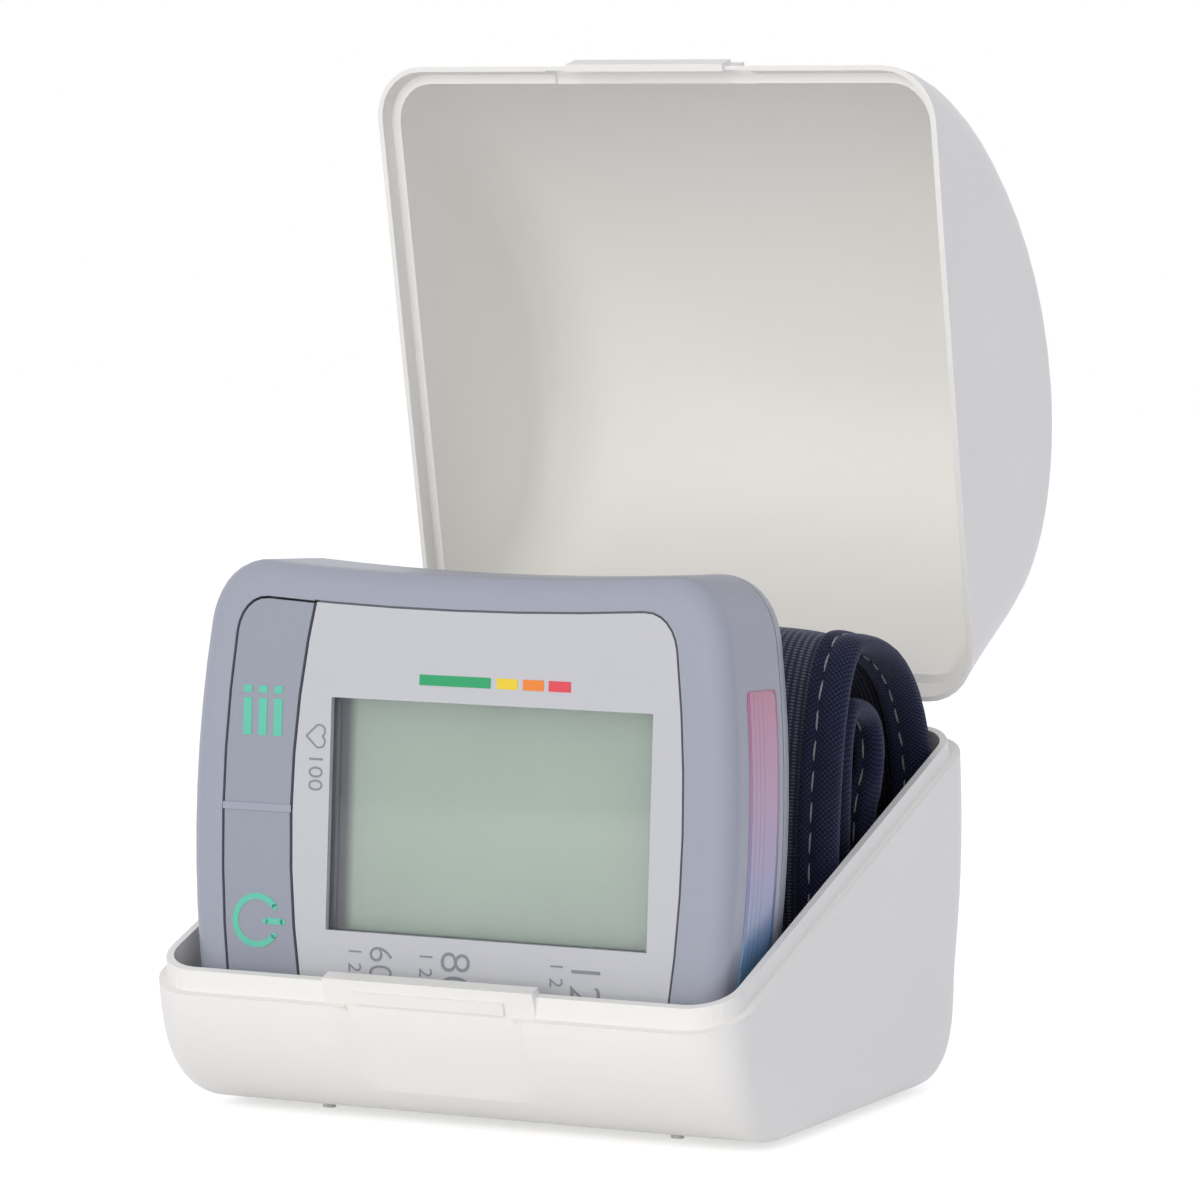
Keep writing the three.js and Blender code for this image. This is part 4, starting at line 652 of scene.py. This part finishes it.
label = {"front": 5.9, "back": 15.8, "bottom": -26.0, "top": 18.7}
film_thickness, corner_cut, lift, far_right = 0.05, 0.3, 0.06, 60
size = (label["back"] - label["front"], label["top"] - label["bottom"])
bm = bmesh.new()
bm.loops.layers.uv.new("film")
bmesh.ops.create_grid(bm, x_segments=10, y_segments=36, size=0.5, calc_uvs=True)
bmesh.ops.scale(bm, vec=(*size, 1), verts=bm.verts)
for v in bm.verts:
    if abs(v.co.x) > size[0] / 2 - 0.01 and abs(v.co.y) > size[1] / 2 - 0.01:
        v.co.x *= 1 - corner_cut / abs(v.co.x)
        v.co.y *= 1 - corner_cut / abs(v.co.y)
from_face = on_face.inverted()
wall = BVHTree.FromObject(bpy.data.objects["front_housing_shell"], bpy.context.evaluated_depsgraph_get())
for v in bm.verts:
    depth = (label["front"] + label["back"]) / 2 + v.co.x
    up = (label["bottom"] + label["top"]) / 2 + v.co.y
    start = on_face @ Vector((far_right * MM, depth * MM, up * MM))
    touch = wall.ray_cast(start, Vector((-1, 0, 0)))[0]
    v.co = from_face @ (touch + Vector((lift * MM, 0, 0)))
bmesh.ops.recalc_face_normals(bm, faces=bm.faces)
side_label = new_piece("side_label", bm, label_film)
place_on_face(side_label)
side_label.data.shade_smooth()
film = side_label.modifiers.new("film thickness", "SOLIDIFY")
film.thickness, film.offset = film_thickness * MM, 1
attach(side_label, "monitor")
print("side label, mm:", size)

# %% [markdown]
# The cuff is one long padded band, rolled into a loop behind the monitor, and its free end turns in inside
# the loop. Seen from the side the loop is four soft curves. Bezier curves give the outline, and points spaced
# evenly along it let every later piece follow the same path. The tail bulges back a little below its top.

# %% Outlines of the cuff
cuff = {
    "front": 33.5,
    "back": 75.4,
    "crown": 45.5,
    "floor": 53.5,
    "top": 27.0,
    "bottom": -36.4,
    "waist": -5.0,
}
tail = {
    "front": 42.4,
    "back": 54.8,
    "crown": 46.6,
    "top": 16.4,
    "bend": 6.5,
    "foot": -14.0,
    "back_foot": -21.0,
    "bulge": 2.8,
}


def curve_through(knots):
    """Points along Bezier curves, each given as its start, two handles and its end."""
    points = []
    for pull in knots:
        points += interpolate_bezier(*(Vector(knot).to_3d() for knot in pull), 48)[:-1]
    points.append(Vector(knots[-1][-1]).to_3d())
    return [point.to_2d() for point in points]


def loop_points():
    """Four curves: up the front, over the crown, down the back and along the floor."""
    front, back, crown, floor_at, top, bottom, waist = cuff.values()
    up, down = top - waist, waist - bottom
    ends = [(front, waist), (crown, top), (back, waist), (floor_at, bottom), (front, waist)]
    pulls = [
        ((front, waist + up * 0.8), (crown - (crown - front) * 0.62, top)),
        ((crown + (back - crown) * 0.6, top), (back, waist + up * 0.66)),
        ((back, waist - down * 0.55), (floor_at + (back - floor_at) * 0.5, bottom)),
        ((floor_at - (floor_at - front) * 0.6, bottom), (front, waist - down * 0.62)),
    ]
    return curve_through([(a, *handles, b) for a, handles, b in zip(ends, pulls, ends[1:])])[:-1]


def tail_points():
    """Up behind the loop's front, over the tail's own crown and down again."""
    front, back, crown, top, bend, foot, back_foot, bulge = tail.values()
    shoulder = top - (top - bend) * 0.3
    return curve_through([
        ((front, foot), (front, foot + 6), (front, bend - 6), (front, bend)),
        ((front, bend), (front, shoulder), (crown - (crown - front) * 0.6, top), (crown, top)),
        ((crown, top), (back, top), (back + bulge, shoulder), (back + bulge, bend)),
        ((back + bulge, bend), (back + bulge, 2), (back, 4), (back, -2)),
        ((back, -2), (back, -6), (back, back_foot + 6), (back, back_foot)),
    ])


def evenly(points, count):
    """The same path with its points spaced evenly. A path that closes ends where it starts."""
    steps = [(b - a).length for a, b in zip(points, points[1:])]
    found, walked, i = [], 0.0, 0
    for n in range(count):
        goal = sum(steps) * n / (count - 1)
        while i < len(steps) - 1 and walked + steps[i] < goal:
            walked += steps[i]
            i += 1
        found.append(points[i].lerp(points[i + 1], (goal - walked) / steps[i]))
    return found


def inset(points, distance, closed):
    """The path moved inwards, without the points that a tight bend folds over."""
    moved = []
    for i, point in enumerate(points):
        before = points[i - 1] if closed or i else point
        after = points[(i + 1) % len(points)] if closed or i + 1 < len(points) else point
        along = (after - before).normalized()
        moved.append(point + Vector((along.y, -along.x)) * distance)
    return [p for p in moved if min((p - q).length for q in points) > distance - 0.05]


loop = loop_points()
print("the loop is", round(sum((b - a).length for a, b in zip(loop, loop[1:] + loop[:1]))), "mm long")

# %% [markdown]
# Every layer of the cuff is a band: one cross-section carried along an outline. The section starts as a row
# of points, and the row is extruded once for each column of the outline. Points remember their column and
# their place in the section, which later gives the cloth its own coordinates: metres along the band and
# metres across it.

# %% A band along an outline
class Outline:
    """An outline in even columns, with the same columns on its inner side. Its edges may be thinner."""

    def __init__(self, points, thickness, columns, closed, edge_thickness):
        self.closed, self.thickness, self.count = closed, thickness, columns
        self.edge_thickness = edge_thickness
        ring = [*points, points[0]] if closed else points
        inner = inset(points, thickness, closed)
        inner = [*inner, inner[0]] if closed else inner
        self.outer, self.inner = evenly(ring, columns + 1), evenly(inner, columns + 1)
        self.length = sum((b - a).length for a, b in zip(ring, ring[1:]))

    def at(self, column, depth):
        """The place at a column, which may be a fraction, and at a depth below the outer side."""
        column = column % self.count if self.closed else min(max(column, 0), self.count - 1e-6)
        low, share = int(column), column % 1
        out = self.outer[low].lerp(self.outer[low + 1], share)
        return out.lerp(self.inner[low].lerp(self.inner[low + 1], share), depth / self.thickness)


def put_in_order(bm, rank):
    """Sorts points by rank, and edges and faces by their points. Without it their order changes from run to
    run, and the simulation ends a little differently each time.
    """

    def by_points(part):
        found = [v.index for v in part.verts]
        return min(found) * len(bm.verts) + max(found)

    bm.verts.sort(key=rank)
    bm.verts.index_update()
    bm.edges.sort(key=by_points)
    bm.faces.sort(key=by_points)


def band(name, outline, section, ring, *materials):
    """Carries a section along an outline. section(column) lists its points as (across, depth), and ring says
    that it closes on itself.
    """
    bm = bmesh.new()
    column, place = bm.verts.layers.int.new("column"), bm.verts.layers.int.new("place")
    sections = [section(j % outline.count if outline.closed else j) for j in range(outline.count + 1)]
    width = len(sections[0])
    row = [bm.verts.new() for _ in range(width)]
    for i, v in enumerate(row):
        v[place] = i
    edges = [bm.edges.new((row[i], row[(i + 1) % width])) for i in range(width if ring else width - 1)]
    for j in range(1, outline.count + 1):
        made = bmesh.ops.extrude_edge_only(bm, edges=edges)["geom"]
        fresh = {v for v in made if isinstance(v, bmesh.types.BMVert)}
        edges = [e for e in made if isinstance(e, bmesh.types.BMEdge) and fresh.issuperset(e.verts)]
        for v in fresh:
            v[column] = j
    for v in bm.verts:
        across, depth = sections[v[column]][v[place]]
        v.co = (across, *outline.at(v[column], depth))
    middle = sections[0]
    reach = [0.0]
    for i in range(width):
        reach.append(reach[-1] + (Vector(middle[(i + 1) % width]) - Vector(middle[i])).length)
    cloth = bm.loops.layers.uv.new("cloth")
    for face in bm.faces:
        wraps = ring and max(v[place] for v in face.verts) - min(v[place] for v in face.verts) > 1
        for corner in face.loops:
            at = corner.vert[place] or (width if wraps else 0)
            corner[cloth].uv = (corner.vert[column] * outline.length / outline.count * MM, reach[at] * MM)
        face.smooth = True
    if outline.closed:
        bmesh.ops.remove_doubles(bm, verts=bm.verts, dist=0.001)
    elif ring:
        bmesh.ops.holes_fill(bm, edges=[e for e in bm.edges if e.is_boundary])
    bmesh.ops.recalc_face_normals(bm, faces=bm.faces)
    outside = min(bm.faces, key=lambda face: sum(sections[v[column]][v[place]][1] for v in face.verts))
    outwards = outline.at(outside.verts[0][column], 0) - outline.at(outside.verts[0][column], 1)
    if outside.normal.dot(Vector((0, *outwards))) < 0:
        bmesh.ops.reverse_faces(bm, faces=bm.faces)
    bmesh.ops.scale(bm, vec=(MM, MM, MM), verts=bm.verts)
    columns = outline.count if outline.closed else outline.count + 1
    put_in_order(bm, lambda v: v[column] % columns * width + v[place])
    piece = new_piece(name, bm, *materials)
    place_on_face(piece)
    return piece


CUFF_THICK, CUFF_EDGE, TAIL_THICK = 7.6, 6.3, 3.0
STITCH, COLUMNS = 4.45, 5
stitches = round(sum((b - a).length for a, b in zip(loop, loop[1:])) / STITCH)
cuff_outline = Outline(loop, CUFF_THICK, stitches * COLUMNS, True, CUFF_EDGE)
tail_path = tail_points()
tail_stitches = round(sum((b - a).length for a, b in zip(tail_path, tail_path[1:])) / STITCH)
tail_outline = Outline(tail_path, TAIL_THICK, tail_stitches * COLUMNS, False, TAIL_THICK)
print("stitches round the cuff:", stitches, "and along its tail:", tail_stitches)

# %% [markdown]
# Three cloths make the cuff. The edges are bound in navy tape, a fine open mesh. The outside is a grey rib
# knit that the closing hooks grip, and the inside is a dark mesh lining. Crossed waves drawn in the cloth's
# own coordinates give the threads, as colour and bump, slow noise makes them look worn, and sheen gives the
# pale edge that fibres catch. Real threads are about 0.35 mm apart, too fine for the picture, so they are
# drawn at least 0.5 mm apart.

# %% Cloths
# A wave texture of scale 1 repeats every 0.31416 of its coordinates.
BAND = 0.31416


def woven(name, dark, light, pitches_mm, slant, height, sheen, space="UV"):
    """Threads crossing: slant turns them, and the pitches are the distances between two threads."""
    material, tree, shader, coordinates = start_material(name, dark, 0.85, IOR=1.5)
    shader.inputs["Sheen Weight"].default_value = sheen
    shader.inputs["Sheen Roughness"].default_value = 0.45
    shader.inputs["Sheen Tint"].default_value = linear("#C9CCE6")
    shader.inputs["Specular IOR Level"].default_value = 0.25
    place = coordinates.outputs[space]
    values = {"Rotation": (0, 0, math.radians(slant))}
    turned = add_node(tree, "ShaderNodeMapping", {"Vector": place}, values)
    waves = []
    for direction, pitch in zip("XY", pitches_mm):
        values = {"Scale": BAND / (pitch * MM), "Distortion": 0.6, "Detail": 1.0, "Detail Scale": 1.5}
        links = {"Vector": turned.outputs[0]}
        wave = add_node(tree, "ShaderNodeTexWave", links, values, bands_direction=direction)
        waves.append(wave.outputs["Fac"])
    weave = add_node(tree, "ShaderNodeMath", dict(enumerate(waves)), operation="MULTIPLY")
    uneven = add_node(tree, "ShaderNodeTexNoise", {"Vector": place}, {"Scale": 1 / (7 * MM), "Detail": 4.0})
    worn = add_node(
        tree,
        "ShaderNodeMapRange",
        {"Value": uneven.outputs["Fac"]},
        {"From Min": 0.3, "From Max": 0.7, "To Min": 0.55, "To Max": 1.0},
    )
    share = add_node(tree, "ShaderNodeMath", {0: weave.outputs[0], 1: worn.outputs[0]}, operation="MULTIPLY")
    tone = add_node(tree, "ShaderNodeMix", {"Factor": share.outputs[0]}, data_type="RGBA")
    tone.inputs[6].default_value, tone.inputs[7].default_value = linear(dark), linear(light)
    tree.links.new(tone.outputs[2], shader.inputs["Base Color"])
    values = {"Strength": 0.8, "Distance": height * MM}
    bump = add_node(tree, "ShaderNodeBump", {"Height": weave.outputs[0]}, values)
    tree.links.new(bump.outputs["Normal"], shader.inputs["Normal"])
    return material


tape_mesh = woven("binding_tape_navy_mesh", "#111426", "#40456C", (0.55, 0.55), 45, 0.1, 0.25)
outer_knit = woven("cuff_outside_grey_rib_knit", "#2E303C", "#878CA0", (0.5, 0.95), 0, 0.25, 0.35)
lining_mesh = woven("cuff_lining_dark_mesh", "#0D0E17", "#3C4052", (0.6, 0.6), 0, 0.15, 0.2)
thread = woven("sewing_thread_pale_polyester", "#8E9092", "#C2C2C0", (0.3, 0.3), 30, 0.05, 0.2, "Object")
hooks = woven("closing_hooks_black_nylon", "#101114", "#34363C", (0.9, 0.9), 0, 0.4, 0.1)
print("cloths:", tape_mesh.name, outer_knit.name, lining_mesh.name)

# %% [markdown]
# The padded body of the cuff is a closed band, thick in the middle and pinched at its two edges, where the
# tape will hold it. Small pleats lie on its inner side beside the tape. Sections list how far from the middle
# each point is and how deep below the outer side, in millimetres.

# %% Padded body
CUFF_HALF, TAIL_HALF = 40.0, 38.6
TAPED_FROM = 34
crown = [(0, 1.1), (7, 1.1), (13, 1.15), (19, 1.2), (24, 1.3)]
plain = [(28, 1.4), (31, 1.65), (33, 2.0)]
pleats = [(26.4 + 0.6 * i, 1.5 + (i / 11) ** 2 * 1.2 + (0.25 if i % 2 else -0.1)) for i in range(12)]
pinch = [(34.6, 2.3), (35.6, 2.4), (36.4, 2.65), (37.4, 2.55), (38.5, 2.65), (39.2, 2.85)]
inner_pinch = [(u, d + 1.25) for u, d in pinch]


def closed_section(outer_half, inner_half, total):
    """A section through a pad: both halves are mirrored across the middle, the inner one on the far side."""
    outer = [(-u, d) for u, d in reversed(outer_half) if u] + outer_half
    inner = [(-u, d) for u, d in reversed(inner_half) if u] + inner_half
    return outer + [(u, total - d) for u, d in reversed(inner)]


def lined(piece, outer_count):
    """Gives the lining, the second material, to the faces on the inner side."""
    place = piece.data.attributes["place"].data
    for face in piece.data.polygons:
        face.material_index = int(all(place[v].value >= outer_count for v in face.vertices))


pad_section = closed_section(crown + plain + pinch, crown + pleats + inner_pinch, CUFF_THICK)
cuff_pad = band("cuff_pad", cuff_outline, lambda column: pad_section, True, outer_knit, lining_mesh)
lined(cuff_pad, 2 * len(crown + plain + pinch) - 1)
print("padded body:", len(cuff_pad.data.vertices), "points")

# %% [markdown]
# A cloth simulation blows the pad up a little from inside while its edges stay pinned, so that it swells and
# wrinkles as padding does. No point moves further than the cap. The result is kept in the mesh, and the cloth
# modifier is taken off again.

# %% Swelling the padding
def swell(piece, pinned, pressure, cap):
    """Blows a closed cloth up for 20 frames. Pinned points stay, and none moves further than the cap."""
    group = piece.vertex_groups.new(name="pinned")
    group.add(pinned, 1.0, "REPLACE")
    cloth = piece.modifiers.new("swell", "CLOTH")
    cloth.settings.vertex_group_mass = group.name
    cloth.settings.use_pressure = True
    cloth.settings.uniform_pressure_force = pressure
    cloth.settings.effector_weights.gravity = 0
    for frame_number in range(1, 21):
        bpy.context.scene.frame_set(frame_number)
    swollen = piece.evaluated_get(bpy.context.evaluated_depsgraph_get()).data
    moves = [goal.co - v.co for goal, v in zip(swollen.vertices, piece.data.vertices)]
    for v, move in zip(piece.data.vertices, moves):
        v.co += move * min(1.0, cap / max(move.length, 1e-9))
    piece.modifiers.remove(cloth)
    piece.vertex_groups.remove(group)
    bpy.context.scene.frame_set(1)
    furthest = max(move.length for move in moves) / MM
    print(piece.name, "swelled by up to", round(furthest, 2), "mm, cap", cap / MM)


place = cuff_pad.data.attributes["place"].data
under_tape = [i for i, v in enumerate(place) if abs(pad_section[v.value][0]) > TAPED_FROM]
swell(cuff_pad, under_tape, pressure=4.0, cap=0.6 * MM)
finer = cuff_pad.modifiers.new("finer", "SUBSURF")
finer.levels = finer.render_levels = 1
ride_for(cuff_pad, "cuff_outer_fabric", "cuff_lining")

# %% [markdown]
# The free end of the cuff turns in inside the loop. It has no air bladder, so it is a thinner band of the
# same cloths, with tape along its edges as well.

# %% Tail
tail_crown = [(0, 0.5), (10, 0.5), (20, 0.52), (29, 0.55), (32.5, 0.6)]
tail_pinch = [(34, 0.7), (35, 0.85), (36.2, 0.75), (37.4, 0.95), (38.1, 1.3)]
tail_section = closed_section(tail_crown + tail_pinch, tail_crown + tail_pinch, TAIL_THICK)
cuff_tail = band("cuff_tail_strap", tail_outline, lambda column: tail_section, True, lining_mesh, outer_knit)
lined(cuff_tail, 2 * len(tail_crown + tail_pinch) - 1)
finer = cuff_tail.modifiers.new("finer", "SUBSURF")
finer.levels = finer.render_levels = 1
ride_for(cuff_tail, "cuff_tail")
print("tail:", round(tail_outline.length), "mm long")

# %% [markdown]
# Binding tape is folded over each edge and sewn through all layers. The seam pulls a groove into the tape,
# deepest where the needle went through, and the tape stands up softly on both sides of it. It is a strip with
# a wall. The points of its shape run from the hem to the fold, each with its distance from the edge and its
# depth, and GROOVE counts to the one at the seam.

# %% Binding tape
cuff_tape = [
    *[(5.8, 1.8), (5.4, 1.4), (4.7, 1.4), (4.2, 1.65), (3.8, 2.1), (3.4, 1.85)],
    *[(2.6, 1.75), (1.6, 1.85), (0.7, 2.1), (0.15, 2.5), (0, 3.15)],
]
tail_tape = [
    *[(4.1, 0.5), (3.9, 0.12), (3.5, 0.02), (3.1, 0.15), (2.7, 0.4), (2.3, 0.2)],
    *[(1.7, 0.05), (1.1, 0.12), (0.5, 0.45), (0.1, 0.95), (0, 1.5)],
]
GROOVE = 4
TAPE, PULL, PUFF = 0.45, 0.22, 0.09


def bind(name, outline, shape, side, half, node):
    """A tape round one edge: its shape runs from the outer hem to the fold, mirrored to the inner hem."""

    def section(column):
        pull = PULL * max(0.0, math.cos(2 * math.pi * column / COLUMNS))
        puff = PUFF * noise.noise(Vector((column * 0.4, side * 9.0, half)))
        rows = [(u, d + (pull if i == GROOVE else puff)) for i, (u, d) in enumerate(shape)]
        outer = [(side * (half - u), d) for u, d in rows]
        return outer + [(u, outline.edge_thickness - d) for u, d in reversed(outer[:-1])]

    tape = band(name, outline, section, False, tape_mesh)
    corners = section(2)
    width = sum((Vector(b) - Vector(a)).length for a, b in zip(corners, corners[1:]))
    wall = tape.modifiers.new("tape wall", "SOLIDIFY")
    wall.thickness, wall.offset = TAPE * MM, -1
    finer = tape.modifiers.new("finer", "SUBSURF")
    finer.levels = finer.render_levels = 1
    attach(tape, "monitor")
    if node:
        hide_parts(node)
    print(name, "is", round(width, 1), "mm wide and", round(outline.length), "mm long")
    return tape, (width * MM, outline.length * MM)


for side, word in ((-1, "left"), (1, "right")):
    node = f"cuff_binding_{word}"
    tape, cut = bind(f"cuff_tape_{word}", cuff_outline, cuff_tape, side, CUFF_HALF, node)
    tape, cut = bind(f"tail_tape_{word}", tail_outline, tail_tape, side, TAIL_HALF, None)

# %% [markdown]
# The seams are sewn in a pale thread with long stitches. Each stitch is a slim bead bent along the outline,
# with its ends drawn down into the needle holes, and a little noise keeps the row from being quite straight.
# The thread is given in millimetres, and half a stitch's length in columns of the outline.

# %% Seams
THREAD = {"width": 0.16, "rise": 0.14, "dive": 0.3, "wander": 0.18, "half_length": 1.95}


def sew(name, outline, across, surface, count):
    """Rows of stitches on both faces of both edges. surface is the thread's depth below the outer side."""
    bm = bmesh.new()
    rows = [(side * across, face) for side in (-1, 1) for face in (0, 1)]
    for middle, face in rows:
        for n in range(count):
            drift = noise.noise(Vector((n * 1.7, middle, face * 5.0)))
            for v in bmesh.ops.create_uvsphere(bm, u_segments=6, v_segments=6, radius=1)["verts"]:
                along, sideways_by, rise = v.co.z, v.co.x, v.co.y
                depth = surface - THREAD["rise"] + THREAD["dive"] * along**6 - rise * THREAD["rise"]
                column = COLUMNS * (n + 0.5) + along * THREAD["half_length"]
                reach = outline.edge_thickness - depth if face else depth
                x = middle + sideways_by * THREAD["width"] + drift * THREAD["wander"] * along
                v.co = (x, *outline.at(column, reach))
    bmesh.ops.recalc_face_normals(bm, faces=bm.faces)
    for face in bm.faces:
        face.smooth = True
    bmesh.ops.scale(bm, vec=(MM, MM, MM), verts=bm.verts)
    piece = new_piece(name, bm, thread)
    place_on_face(piece)
    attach(piece, "monitor")
    print(name, count * len(rows), "stitches")


sew("cuff_seams", cuff_outline, CUFF_HALF - cuff_tape[GROOVE][0], cuff_tape[GROOVE][1], stitches)
sew("tail_seams", tail_outline, TAIL_HALF - tail_tape[GROOVE][0], tail_tape[GROOVE][1], tail_stitches)

# %% [markdown]
# The patch of closing hooks is a stiff nylon sheet sewn to the tail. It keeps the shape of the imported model.

# %% Patch of closing hooks
mesh = frame["nodes"]["hook_patch"].data
mesh.materials.clear()
mesh.materials.append(hooks)
print("finished: hook_patch")
